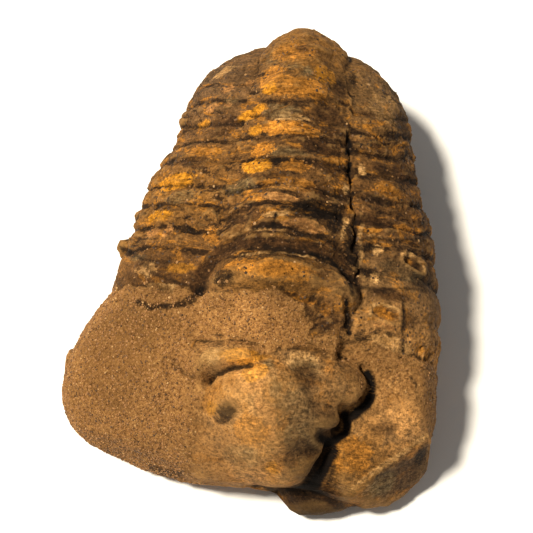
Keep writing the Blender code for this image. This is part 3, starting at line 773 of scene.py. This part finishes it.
STAIN_LINES["black"] = (
    # The next four lines are painted shadow: the black shadows cast by the glabella's right lobes and its
    # front.
    (((11.9, -12.6, 19), (12.4, -13.1, 18), (12.8, -13.9, 17), (12.8, -15.1, 17)), 0.5, 1),
    (UPPER_LOBE_LINE, 0.65, 1),
    (MIDDLE_LOBE_LINE, 0.55, 1),
    (((8.8, -22.1, 14), (8.1, -23.4, 14), (7.5, -24.7, 13), (6.9, -25.8, 11), (5.7, -26.5, 7),
      (3.4, -27.1, 5), (0.8, -27.3, 4), (-1.2, -27.2, 4)), 0.75, 1),
    (((3.6, -0.4, 27), (5.8, -0.5, 27), (7.4, -1.3, 26), (8.4, -2.8, 25), (9, -4.6, 24)), 0.35, 1),
    (((-5.4, 1.4, 26), (-2.8, 1.7, 27), (0, 1.6, 28), (3.1, 1.7, 27), (6.2, 1.8, 26)), 0.14, 0.9),
    (((-1.5, 2.8, 27), (-1.3, 4, 28)), 0.25, 1),
    (((7.1, 9, 25), (7.9, 9, 24), (9, 9.5, 24)), 0.16, 0.9),
    (((9.4, -1.9, 24), (9.4, 0.2, 23)), 0.3, 0.8),
    (((8.9, 3.2, 23), (8.4, 5.4, 24)), 0.3, 0.9),
    (((6.7, 16.5, 24), (7.1, 15.6, 24), (6.6, 14.2, 25)), 0.3, 1),
    (((7.3, 13.3, 23), (7.2, 12.5, 23), (6.9, 10.5, 25)), 0.28, 1),
    (((8.3, -5.4, 25), (8.9, -6.7, 23), (9.2, -8.6, 22)), 0.3, 1),
    (((-17.6, -6.9, 20), (-15.9, -7.6, 21), (-13.3, -7.5, 22), (-11.5, -7.1, 22), (-10.2, -5.9, 24)),
     0.4, 0.9),
    (((-17.7, -1.6, 20), (-16.5, -3, 21), (-14.5, -3.9, 22), (-12.2, -4.6, 23), (-9.7, -5.2, 25)),
     0.16, 0.8),
    (((-22.3, 3.5, 10), (-20.5, 1.4, 15), (-18.2, -0.9, 20), (-16, -1.7, 21), (-14.1, -1.7, 22)),
     0.16, 0.8),
    (((-14.7, 12.8, 21), (-12, 12.6, 22)), 0.14, 0.8),
    (((-17.2, 6.2, 19), (-13.7, 5.4, 22), (-11.1, 5.6, 23), (-7.8, 5.4, 25)), 0.12, 0.7),
    (((-5.7, 12.1, 25), (-3.6, 11.9, 26), (-1.6, 11.6, 27)), 0.14, 1),
    (((-3.4, 7.7, 27), (-2.4, 7.2, 28), (-0.5, 7.1, 28), (1, 6.9, 28)), 0.14, 0.9),
    (((-4.1, 13.9, 27), (-1.8, 13.6, 28), (0.7, 14, 28)), 0.12, 0.8),
    (((-5, 17.3, 26), (-2, 17.6, 27)), 0.1, 0.6),
    (((-0.5, 18.3, 27), (1.3, 18.2, 27), (3.1, 18.5, 26)), 0.13, 0.9),
    (((10, -3, 23), (12.5, -2.9, 23), (15, -2.1, 22), (19.1, -0.9, 18)), 0.22, 0.8),
    (((9.1, 3, 23), (11.3, 3.7, 23), (13.9, 3.9, 22), (17.9, 5.7, 19)), 0.22, 0.8),
    (((15.5, -3.4, 21), (15.8, -5.3, 21), (15.8, -7.2, 21), (16.2, -9.4, 19)), 0.2, 1),
    (((9.4, -9.6, 21), (10.4, -9.4, 22), (11.4, -9.4, 21)), 0.16, 0.8),
    (((17.5, -12.5, 18), (18.2, -13.2, 17), (18.6, -14.8, 16)), 0.16, 0.9),
    (((-7.9, -16.3, 20), (-6.9, -15.7, 21), (-4.9, -14.9, 23), (-2.6, -14.4, 24)), 0.18, 0.8),
    (((-7.3, -12.1, 23), (-4.6, -12, 23), (-1.4, -11.6, 23)), 0.1, 0.6),
    (((-0.5, 5, 28), (1.6, 4.9, 28), (4, 5.6, 27), (7.1, 6.6, 26)), 0.35, 0.9),
    (((-1.7, 12.6, 27), (0.9, 12.4, 28), (3.1, 13.2, 27)), 0.14, 0.8),
    (((-5, 14.7, 26), (-1.2, 14.3, 28), (3.1, 15.7, 27)), 0.16, 0.8),
    (((-4.7, 20, 26), (-1.8, 19.8, 27), (0.2, 19.7, 27), (3.3, 20.7, 26)), 0.25, 0.9),
    (((-8.9, 9.2, 24), (-7.3, 8.7, 25), (-6.3, 8.5, 26)), 0.14, 0.8),
    (((-8.4, 18, 22), (-7, 17.8, 23)), 0.14, 0.8),
    (((-13.5, -21.4, 16), (-12.8, -22.4, 16), (-11.9, -22.5, 15)), 0.1, 0.8),
    (((-14.8, -25.1, 6), (-12.7, -25.6, 6), (-10.7, -25.8, 8), (-7.5, -25.7, 10)), 0.3, 0.8),
)
# How each kind of stain looks: its two colours, how ragged its edge is, and how soft, in millimetres.
STAIN_LOOK = {
    "tan": ("#c49860", "#98703e", 1.1, 0.15),
    "pink": ("#b07c44", "#8a5c32", 1.5, 0.20),
    "grey": ("#73603f", "#4c3c26", 2.1, 0.45),
    "rust": ("#b8782a", "#8c5a1e", 1.5, 0.25),
    "ochre": ("#c08022", "#9c6616", 1.4, 0.20),
    "brown": ("#4a3018", "#2c1c0e", 1.9, 0.40),
    "black": ("#160e08", "#0a0603", 1.3, 0.22),
}
STAIN_HEIGHT_SHARE = 0.35
# A stain of this half-width or more has a fully ragged edge, and a small one at least this share.
FULL_RAGGED_SIZE = 0.9
LEAST_RAGGED = 0.3
FAR_OUTSIDE = -3.0


def stain_depth(kind):
    """How deep inside the nearest stain of a kind each point lies, in millimetres, its strength, and
    how ragged its edge is: a small stain has a finer edge."""
    near = np.tile((FAR_OUTSIDE, 0.0, 1.0), (len(worn), 1))
    found = []
    for centre, half_across, half_along, turn, strong in STAINS[kind]:
        u, v = in_oval(worn, centre, half_across, half_along, turn)
        size = min(half_across, half_along)
        w = (worn[:, 2] - centre[2]) * STAIN_HEIGHT_SHARE / size
        depth = (1 - np.sqrt(u**2 + v**2 + w**2)) * (size + 0.25 * (half_across - size))
        found.append((depth, strong, size / FULL_RAGGED_SIZE))
    for line, half_width, strong in STAIN_LINES.get(kind, ()):
        found.append((half_width - distance_to_line(worn, line), strong, 0.4 * half_width))
    for depth, strong, ragged in found:
        nearer = depth > near[:, 0]
        near[nearer, 0] = depth[nearer]
        near[nearer, 1:] = strong, np.clip(ragged, LEAST_RAGGED, 1)
    near[:, 2] *= STAIN_LOOK[kind][2]
    return near


def keep(name, values):
    """Keeps a number or a vector for each of the mesh's points, for the material to read."""
    kind, field = ("FLOAT", "value") if values.ndim == 1 else ("FLOAT_VECTOR", "vector")
    attribute = skin.attributes.new(name, kind, "POINT")
    attribute.data.foreach_set(field, np.ascontiguousarray(values, dtype=np.float32).ravel())


dome = ease(8.6, 9.2, phase) * ease(11.0, 9.0, np.abs(form[:, 0]))
on_rings = (1 - sand) * (1 - head) * ease(8, 14, form[:, 2])
keep("bed", bed)
keep("sand", cover)
keep("loose_sand", cover * (1 - in_cut))
keep("crumbly", on_rings * (0.5 + 0.5 * ease(-0.1, 0.4, mottle(form, 3.0, 3, 0.9, 5.9))))
keep("hollow", hollow)
keep("seam", seam_band(form, phase, head))
keep("head", head)
# The streaks, the grain and the flecks are weaker on some parts than on others.
keep("streaked", 1 - np.max((head, 0.5 * on_first_ring(phase), 0.6 * dome), axis=0))
keep("grainy", 1 - 0.75 * head)
keep("flecked", 0.7 + 0.3 * head)
for kind in STAINS:
    keep(kind, stain_depth(kind))

# The bare stone's own colours, and where each lies: a place and how far it spreads, in millimetres.
STONE_TONES = {
    "ochre brown": "#815826",
    "brown": "#6c4a25",
    "umber": "#573a1e",
    "dark umber": "#3c2815",
    "black umber": "#22170c",
    "grey brown": "#705433",
    "tan": "#a87842",
    "pale tan": "#b8854c",
    "drab": "#8a6840",
    "slate brown": "#5c452e",
}
GROUND = (
    ((0, 27, 25), 6, "ochre brown"), ((-10, 24, 20), 6, "slate brown"), ((11, 24, 20), 6, "grey brown"),
    ((0, 18, 27), 4, "umber"), ((-13, 15, 20), 6, "brown"), ((12, 15, 21), 6, "brown"),
    ((-2, 10, 28), 5, "brown"), ((-2, 6, 28), 3, "umber"), ((4, 5.3, 27), 2, "dark umber"),
    ((-15, 8, 20), 5, "ochre brown"), ((-15, 3, 20), 4, "brown"), ((13, 6, 21), 6, "umber"),
    ((0, 2, 28), 3, "dark umber"), ((0, -4, 28), 3.5, "ochre brown"), ((-14, -3, 21), 4, "umber"),
    ((-14, -6, 20), 3, "umber"), ((13, -2, 21), 5, "grey brown"), ((13.5, -6, 21), 2.5, "tan"),
    ((5, -8, 24), 4, "brown"), ((14, -9, 19), 3, "tan"), ((-5, -18, 24), 5, "pale tan"),
    ((3.6, -18, 23), 4.5, "drab"), ((0, -25, 16), 5, "tan"), ((8.5, -15, 20), 2.2, "brown"),
    ((7, -20, 18), 2.6, "dark umber"), ((5, -24, 15), 2.6, "dark umber"), ((16, -15, 17), 5, "pale tan"),
    ((12, -22, 12), 4, "ochre brown"), ((7, -28, 6), 4.5, "black umber"), ((18, -23, 8), 3, "slate brown"),
)

# Some places are made paler and others darker, each by a place, its spread and a factor: partly the stone's
# own tone, and partly painted light and painted shade, such as the lit left of the head, its shaded right
# and the shaded sides of the dome.
TONE_LIGHT_AND_SHADE = (
    ((-16.6, -16, 12), 6, 0.76), ((-16, -9, 17), 4, 0.8), ((-13, -24, 9), 4, 0.88),
    ((-3, -8, 25), 3.6, 1.6), ((-15.5, 4.6, 20), 2.2, 0.84), ((6, -6.6, 25), 2.4, 1.5),
    ((-3, -14, 24), 2.6, 1.24), ((-5.5, -14, 24), 2, 1.1), ((1, -18.6, 24), 2.4, 0.9),
    ((4.4, -17.4, 23), 2.6, 1.15), ((9, -14.3, 21), 2.4, 0.85), ((7.6, -19.2, 19), 2, 0.74),
    ((5.6, -24.9, 14), 2.6, 0.62), ((15.4, -15, 17), 2.8, 1.5), ((13.2, -21.9, 12), 3, 0.66),
    ((7, -29.5, 4), 4, 0.3), ((0, -4.2, 28), 3.6, 0.5), ((0.5, 0.3, 28), 2, 1.15), ((2, 3, 28), 2.2, 0.48),
    ((-2.3, 10, 28), 2.5, 0.56), ((-1.3, 15.8, 28), 2, 1.15), ((-15, -4.2, 20), 4.5, 0.54),
    ((12.6, 1.3, 21), 3, 1.25), ((15, -2.6, 20), 2.6, 1.85), ((17, -24, 8), 2.4, 1.45),
    ((-9, -17, 14), 6, 1.08), ((5.8, 25.5, 23), 1.8, 0.6), ((-6.3, 25, 22), 1.5, 0.75),
    ((9.6, 26, 19), 2.5, 1.2), ((-16.6, 2.2, 19), 1.6, 1.15), ((0.5, -22, 21), 3, 0.9),
    ((12, 12, 21), 3, 0.85), ((-1, 8.8, 28), 2.4, 0.9), ((0, 25.5, 26), 4, 0.9),
    ((-2.4, 6.2, 28), 2.4, 0.9), ((-1, 13.6, 28), 2.6, 0.88), ((-14.4, 8.4, 21), 2.4, 0.88),
)


def linear(hex_colour):
    """Linear red, green, blue and alpha of an sRGB hex colour."""
    channels = [int(hex_colour[i:i + 2], 16) / 255 for i in (1, 3, 5)]
    return [c / 12.92 if c <= 0.04045 else ((c + 0.055) / 1.055) ** 2.4 for c in channels] + [1.0]


GROUND_HEIGHT_SHARE = 0.6
ground = np.zeros((len(worn), 3))
weight_sum = np.full(len(worn), 1e-9)
for centre, spread, tone in GROUND:
    away = np.linalg.norm((worn - centre) * (1, 1, GROUND_HEIGHT_SHARE), axis=1)
    weight = 1 / (1 + (away / spread) ** 4)
    ground += weight[:, None] * np.array(linear(STONE_TONES[tone])[:3])
    weight_sum += weight
ground /= weight_sum[:, None]
keep("ground", ground)
tone_light_and_shade = np.ones(len(worn))
for centre, spread, factor in TONE_LIGHT_AND_SHADE:
    tone_light_and_shade *= factor ** np.exp(-(((worn - centre) ** 2).sum(1) / spread**2))
keep("tone_light_and_shade", tone_light_and_shade)


def add_node(tree, kind, inputs, **settings):
    """Adds a node, sets it up, and fills or links its inputs. A node stands for its first output."""
    node = tree.nodes.new(kind)
    for name, value in settings.items():
        setattr(node, name, value)
    for key, value in inputs.items():
        if isinstance(value, bpy.types.Node):
            value = value.outputs[0]
        if isinstance(value, bpy.types.NodeSocket):
            tree.links.new(value, node.inputs[key])
        else:
            node.inputs[key].default_value = value
    return node


def set_stops(ramp, stops):
    """Puts (place, hex colour) stops on a colour ramp."""
    elements = ramp.color_ramp.elements
    while len(elements) < len(stops):
        elements.new(0.5)
    for element, (place, colour) in zip(elements, stops):
        element.position = place
        element.color = linear(colour)
    return ramp


# Limestone stained by iron: a dull, crumbling stone with no shine, coloured in patches and streaks.
stone = bpy.data.materials.new("iron-stained limestone")
stone.use_nodes = True
nodes = stone.node_tree
nodes.nodes.clear()
TO_MM = 1 / MM
kept = {
    name: add_node(nodes, "ShaderNodeAttribute", {}, attribute_name=name).outputs
    for name in (
        "bed", "sand", "hollow", "seam", "head", "streaked", "grainy", "flecked", "ground", "tone_light_and_shade", *STAINS
    )
}
hollow_share, seam_dirt_and_shade, on_head = (kept[name]["Fac"] for name in ("hollow", "seam", "head"))
streaked, grainy, flecked = (kept[name]["Fac"] for name in ("streaked", "grainy", "flecked"))
place = add_node(nodes, "ShaderNodeTexCoord", {}).outputs["Object"]
in_mm = add_node(nodes, "ShaderNodeVectorMath", {0: place, 3: TO_MM}, operation="SCALE")

# Patterns in the stone: what each one follows, the size of its patches out along a rib, across it
# and through it in millimetres, and its noise's detail, roughness and distortion.
patterns = []
for follows, size, detail, roughness, distortion in (
    (kept["bed"]["Vector"], (4.0, 1.5, 1.0), 9.0, 0.74, 0.5),
    (kept["bed"]["Vector"], (1.0, 0.26, 1.0), 5.0, 0.65, 0.5),
    (in_mm, (3.2, 3.2, 3.2), 6.0, 0.60, 0.4),
    (in_mm, (1.1, 1.1, 1.1), 7.0, 0.78, 0.2),
    (in_mm, (0.4, 0.4, 0.4), 5.0, 0.80, 0.0),
):
    sized = add_node(nodes, "ShaderNodeVectorMath", {0: follows, 1: size}, operation="DIVIDE")
    patterns.append(add_node(
        nodes, "ShaderNodeTexNoise",
        {"Vector": sized, "Scale": 1.0, "Detail": detail, "Roughness": roughness, "Distortion": distortion},
    ))
streaks, fibres, patches, ragged, speckle = patterns


def weighed(parts, total=0.0):
    """Patterns added up, each counted by its own share."""
    for pattern, share in parts:
        shared = {0: pattern, 1: share, 2: total}
        total = add_node(nodes, "ShaderNodeMath", shared, operation="MULTIPLY_ADD")
    return total


# A Map Range node's sockets are the value, low, high, what it gives at low and what it gives at high.
SMOOTH = {"interpolation_type": "SMOOTHSTEP"}


def coat(under, pattern, low, high, most, share, over):
    """One colour laid over another: none where the pattern is at low, and most of it beyond high."""
    amount = add_node(nodes, "ShaderNodeMapRange", {0: pattern, 1: low, 2: high, 3: 0.0, 4: most}, **SMOOTH)
    laid = {0: weighed(((amount, share),)), 6: under, 7: over}
    return add_node(nodes, "ShaderNodeMix", laid, data_type="RGBA").outputs[2]


# Streaks along the ribs and patches on the head, some paler and some darker than the ground.
colour = kept["ground"]["Color"]
for pattern, low, high, most, share, tint in (
    (streaks, 0.465, 0.39, 0.70, streaked, "#c4802a"),
    (streaks, 0.525, 0.60, 0.90, streaked, "#22160c"),
    (patches, 0.49, 0.36, 0.45, on_head, "#b9792f"),
    (patches, 0.51, 0.63, 0.55, on_head, "#57432c"),
):
    colour = coat(colour, pattern, low, high, most, share, linear(tint))

# Dark dirt and painted shade where two rings meet, broken up by the patches.
patchiness = weighed(((ragged, 1.4), (patches, 2.6)), -2.0)
broken = add_node(nodes, "ShaderNodeMapRange", {0: patchiness, 1: -0.35, 2: 0.35}, **SMOOTH)
colour = coat(colour, weighed(((seam_dirt_and_shade, broken),)), 0.22, 0.58, 0.88, 1.0, linear("#20140a"))

# The edge of a stain wanders with one of the patterns and breaks up into specks.
fringe = weighed(((speckle, 0.4), (ragged, 1.0)), -1.5)


def stain_parts(kind, pattern):
    """How far inside its ragged edge each place of a stain lies, its strength there and its colour."""
    light, deep = STAIN_LOOK[kind][:2]
    depth, strength, raggedness = add_node(
        nodes, "ShaderNodeSeparateXYZ", {0: kept[kind]["Vector"]}
    ).outputs
    inside = weighed(((weighed(((pattern, 1.6),), fringe), raggedness),), depth)
    return inside, strength, coat(linear(deep), fibres, 0.35, 0.65, 1.0, 1.0, linear(light))


for kind, pattern in zip(("tan", "pink", "grey", "rust", "ochre", "brown"), (ragged, patches, streaks) * 2):
    inside, strength, tint = stain_parts(kind, pattern)
    softness = STAIN_LOOK[kind][3]
    colour = coat(colour, inside, -softness, softness, 1.0, strength, tint)

# Every part of the bare stone is streaked along the shell's grain, patchy, and flecked.
tone = 1.0
for pattern, low, high, swing, share in (
    (streaks, 0.32, 0.68, 0.20, grainy),
    (fibres, 0.32, 0.68, 0.16, grainy),
    (patches, 0.30, 0.70, 0.18, 1.0),
    (ragged, 0.34, 0.66, 0.45, flecked),
    (speckle, 0.38, 0.62, 0.50, flecked),
):
    swung = add_node(
        nodes, "ShaderNodeMapRange", {0: pattern, 1: low, 2: high, 3: -swing, 4: swing}, **SMOOTH
    )
    tone = weighed(((weighed(((swung, share),), 1.0), tone),))
colour = add_node(nodes, "ShaderNodeVectorMath", {0: colour, 3: tone}, operation="SCALE")

# Sandy rock: fine grains of quartz in an iron-brown cement, with dark grains between them. Brown
# stains soak into it with a soft edge.
sand_tone = set_stops(
    add_node(nodes, "ShaderNodeValToRGB", {"Fac": speckle}),
    ((0.28, "#24160c"), (0.39, "#704a24"), (0.50, "#986c3c"), (0.61, "#b08048"), (0.74, "#e4bc80")),
)
patchy = add_node(nodes, "ShaderNodeMapRange", {0: patches, 1: 0.30, 2: 0.70, 3: 0.892, 4: 1.108}, **SMOOTH)
sand_tone = add_node(nodes, "ShaderNodeVectorMath", {0: sand_tone, 3: patchy}, operation="SCALE")
brown = add_node(nodes, "ShaderNodeSeparateXYZ", {0: kept["brown"]["Vector"]}).outputs
sand_tone = coat(sand_tone, brown["X"], -0.6, 1.2, 0.5, brown["Y"], linear("#5e3f1c"))
SAND_EDGE = (1.02, 1.22)
sandy = weighed(((speckle, 0.35), (ragged, 0.9)), kept["sand"]["Fac"])
colour = coat(colour, sandy, *SAND_EDGE, 1.0, 1.0, sand_tone)

# Dark dirt and painted shade lie in the hollows, a painted highlight pales the high places, and grains show
# everywhere.
dirt_and_shade = weighed(((ragged, 0.5),), hollow_share)
for pattern, low, high, most, tint in (
    # dark dirt and painted shade in the hollows
    (dirt_and_shade, 0.40, 1.05, 0.85, "#160e07"),
    # painted highlight: raised places made paler
    (hollow_share, -0.15, -0.75, 0.22, "#c89858"),
    (speckle, 0.44, 0.28, 0.75, "#1e1208"),
    (speckle, 0.60, 0.76, 0.50, "#dcae6c"),
):
    colour = coat(colour, pattern, low, high, most, 1.0, linear(tint))
# Places made paler or darker by the stone's own tone and by painted light and painted shade.
with_tone_light_and_shade = {0: colour, 3: kept["tone_light_and_shade"]["Fac"]}
colour = add_node(nodes, "ShaderNodeVectorMath", with_tone_light_and_shade, operation="SCALE")

# Black lies on top of all this: manganese stains, and painted shadow in the deep cuts beside the
# glabella's lobes and front. It is solid where strongest, and speckled where it is weaker.
inside, strength, tint = stain_parts("black", ragged)
softness = STAIN_LOOK["black"][3]
covered = add_node(nodes, "ShaderNodeMapRange", {0: inside, 1: -softness, 2: softness}, **SMOOTH)
black_there = weighed(((covered, strength),))
solid = add_node(nodes, "ShaderNodeMapRange", {0: black_there, 1: 0.92, 2: 0.99}, **SMOOTH)
specks = add_node(nodes, "ShaderNodeMapRange", {0: speckle, 1: 0.66, 2: 0.50, 3: 0.55, 4: 1.0}, **SMOOTH)
speckled = add_node(nodes, "ShaderNodeMath", {0: solid, 1: specks}, operation="MAXIMUM")
colour = coat(colour, inside, -softness, softness, 1.0, weighed(((strength, speckled),)), tint)

# The finest relief, in millimetres: fibres, streaks, flecks and grains, which stand out more in sand.
grain_height = add_node(
    nodes, "ShaderNodeMapRange", {0: sandy, 1: SAND_EDGE[0], 2: SAND_EDGE[1], 3: 0.22, 4: 0.42}, **SMOOTH
)
height = weighed(((fibres, 0.14), (streaks, 0.20), (ragged, 0.16), (speckle, grain_height)))
bump = add_node(nodes, "ShaderNodeBump", {"Height": height, "Strength": 1.0, "Distance": MM})
surface = add_node(
    nodes, "ShaderNodeBsdfPrincipled",
    {"Base Color": colour, "Roughness": 0.85, "IOR": 1.5, "Specular IOR Level": 0.12, "Normal": bump},
)
add_node(nodes, "ShaderNodeOutputMaterial", {"Surface": surface})
skin.materials.append(stone)

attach(fossil, "root")
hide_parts("trilobite")

# -----------------------------------------------------------------------------
# Loose grit: quartz grains that stand out of the sandy rock, and crumbs of shell and matrix left
# lying on the rings by the preparer's brush. Each is a rounded crystal a fraction of a millimetre across.
# -----------------------------------------------------------------------------
def grit_tree(name, where, per_square_mm, smallest, largest, flatness, seed, finish):
    """Scatters grains over the faces, as thickly as the named attribute says."""
    tree = bpy.data.node_groups.new(name, "GeometryNodeTree")
    tree.interface.new_socket("Geometry", in_out="INPUT", socket_type="NodeSocketGeometry")
    crowding = "Grains per square metre"
    sizes = {crowding: per_square_mm * TO_MM**2, "Smallest": smallest, "Largest": largest}
    for label, size in sizes.items():
        socket = tree.interface.new_socket(label, in_out="INPUT", socket_type="NodeSocketFloat")
        socket.default_value = size
    tree.interface.new_socket("Geometry", in_out="OUTPUT", socket_type="NodeSocketGeometry")
    into = add_node(tree, "NodeGroupInput", {})
    share = add_node(tree, "GeometryNodeInputNamedAttribute", {"Name": where}, data_type="FLOAT")
    thick = add_node(tree, "ShaderNodeMapRange", {"Value": share, "From Min": 0.45, "From Max": 0.95})
    density = add_node(tree, "ShaderNodeMath", {0: thick, 1: into.outputs[crowding]}, operation="MULTIPLY")
    points = add_node(
        tree, "GeometryNodeDistributePointsOnFaces", {"Mesh": into, "Density": density, "Seed": seed}
    )
    grain = add_node(tree, "GeometryNodeMeshIcoSphere", {"Radius": 1.0, "Subdivisions": 1})
    size = add_node(
        tree, "FunctionNodeRandomValue",
        {2: into.outputs["Smallest"], 3: into.outputs["Largest"], "Seed": seed + 1},
        data_type="FLOAT",
    )
    stretch = add_node(
        tree, "FunctionNodeRandomValue",
        {0: (0.7, 0.7, 0.7 * flatness), 1: (1.3, 1.3, 1.3 * flatness), "Seed": seed + 2},
        data_type="FLOAT_VECTOR",
    )
    scale = add_node(tree, "ShaderNodeVectorMath", {0: stretch, 3: size.outputs[1]}, operation="SCALE")
    spin = add_node(
        tree, "FunctionNodeRandomValue",
        {0: (-0.5, -0.5, 0.0), 1: (0.5, 0.5, 6.28), "Seed": seed + 3}, data_type="FLOAT_VECTOR",
    )
    turn = add_node(
        tree, "FunctionNodeRotateRotation",
        {"Rotation": points.outputs["Rotation"], "Rotate By": spin}, rotation_space="LOCAL",
    )
    grains = add_node(
        tree, "GeometryNodeInstanceOnPoints",
        {"Points": points, "Instance": grain, "Rotation": turn, "Scale": scale},
    )
    shade = add_node(tree, "FunctionNodeRandomValue", {2: 0.0, 3: 1.0, "Seed": seed + 4}, data_type="FLOAT")
    toned = add_node(
        tree, "GeometryNodeStoreNamedAttribute",
        {"Geometry": grains, "Name": "tone", "Value": shade.outputs[1]},
        data_type="FLOAT", domain="INSTANCE",
    )
    real = add_node(tree, "GeometryNodeRealizeInstances", {"Geometry": toned})
    done = add_node(tree, "GeometryNodeSetMaterial", {"Geometry": real, "Material": finish})
    add_node(tree, "NodeGroupOutput", {0: done})
    return tree


def grit_material(name, stops):
    """Rounded grains of several tones, each grain one tone, dull with a faint glint."""
    finish = bpy.data.materials.new(name)
    finish.use_nodes = True
    tree = finish.node_tree
    tree.nodes.clear()
    tone = add_node(tree, "ShaderNodeAttribute", {}, attribute_name="tone")
    ramp = add_node(tree, "ShaderNodeValToRGB", {"Fac": tone.outputs["Fac"]})
    surface = add_node(
        tree, "ShaderNodeBsdfPrincipled",
        {"Base Color": set_stops(ramp, stops), "Roughness": 0.6, "Specular IOR Level": 0.3},
    )
    add_node(tree, "ShaderNodeOutputMaterial", {"Surface": surface})
    return finish


def scatter_grit(tree):
    """One plain mesh of the tree's grains over the fossil, named like the tree."""
    modifier = fossil.modifiers.new(tree.name, "NODES")
    modifier.node_group = tree
    evaluated = fossil.evaluated_get(bpy.context.evaluated_depsgraph_get())
    made = bpy.data.meshes.new_from_object(evaluated)
    fossil.modifiers.remove(modifier)
    reshape(made, read_vectors(made.vertices, "co") / MM)
    piece = put_in_scene(tree.name, made)
    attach(piece, "root")


# Quartz in the sandy rock: glassy grains from smoke brown to straw, which sparkle a little.
quartz = grit_material(
    "iron-stained quartz grains",
    ((0.0, "#3c2814"), (0.25, "#6c4a26"), (0.6, "#8a6034"), (0.93, "#946a3c"), (1.0, "#b08a58")),
)
scatter_grit(grit_tree("sand_grains", "loose_sand", 7.3, 0.06 * MM, 0.17 * MM, 0.8, 11, quartz))

# Crumbs on the rings: flat flakes of dark shell and of pale matrix, dull as the stone they lie on.
crumbs = grit_material(
    "shell and matrix crumbs",
    ((0.0, "#1e140a"), (0.45, "#4a3219"), (0.8, "#6c4a26"), (0.96, "#8c6436"), (1.0, "#a07c50")),
)
scatter_grit(grit_tree("crumbs", "crumbly", 1.6, 0.08 * MM, 0.22 * MM, 0.4, 31, crumbs))

# -----------------------------------------------------------------------------
# The studio: a plain pale floor under one warm lamp at the upper left, with soft light all round.
# -----------------------------------------------------------------------------
FLOOR_HALF = 0.6
floor_mesh = bpy.data.meshes.new("floor")
floor_mesh.from_pydata(
    [(-FLOOR_HALF, -FLOOR_HALF, 0), (FLOOR_HALF, -FLOOR_HALF, 0),
     (FLOOR_HALF, FLOOR_HALF, 0), (-FLOOR_HALF, FLOOR_HALF, 0)], [], [(0, 1, 2, 3)],
)
# White card: matt, with hardly any gloss.
card = bpy.data.materials.new("white card")
card.use_nodes = True
card_surface = card.node_tree.nodes["Principled BSDF"].inputs
card_surface["Base Color"].default_value = linear("#f2f1ee")
card_surface["Roughness"].default_value = 0.9
floor_mesh.materials.append(card)
floor = put_in_scene("floor", floor_mesh)

# The lamp and the camera both look at this point inside the fossil.
MIDDLE = Vector((-2.2, 1.5, 14.0)) * MM
LAMP_WAY = Vector((0.42, 0.02, -0.90)).normalized()
LAMP_DISTANCE = 0.7


def aim(thing, way, distance):
    """Stands a lamp or the camera back from the fossil's middle, looking along way."""
    thing.location = MIDDLE - way * distance
    thing.rotation_mode = "QUATERNION"
    thing.rotation_quaternion = way.to_track_quat("-Z", "Y")


lamp = bpy.data.lights.new("key lamp", "AREA")
lamp.shape = "DISK"
lamp.size = 0.12
lamp.energy = 10.0
lamp.color = (1.0, 0.92, 0.78)
aim(put_in_scene("key lamp", lamp), LAMP_WAY, LAMP_DISTANCE)

world = bpy.data.worlds.new("studio")
world.use_nodes = True
sky = world.node_tree.nodes["Background"].inputs
sky["Color"].default_value = (1.0, 0.98, 0.95, 1)
sky["Strength"].default_value = 0.20
bpy.context.scene.world = world
bpy.context.scene.view_settings.view_transform = "Standard"

VIEW_AZIMUTH = math.radians(6.0)
VIEW_ELEVATION = math.radians(72.0)
VIEW_DISTANCE = 0.190
PIXELS_PER_MM = 7.6
PICTURE_WIDTH = 533
camera_data = bpy.data.cameras.new("camera")
camera_data.lens = camera_data.sensor_width * PIXELS_PER_MM * VIEW_DISTANCE * TO_MM / PICTURE_WIDTH
camera_data.clip_start = 0.01
camera = put_in_scene("camera", camera_data)
view_way = Vector((
    -math.sin(VIEW_AZIMUTH) * math.cos(VIEW_ELEVATION),
    math.cos(VIEW_AZIMUTH) * math.cos(VIEW_ELEVATION),
    -math.sin(VIEW_ELEVATION),
))
aim(camera, view_way, VIEW_DISTANCE)
bpy.context.scene.camera = camera
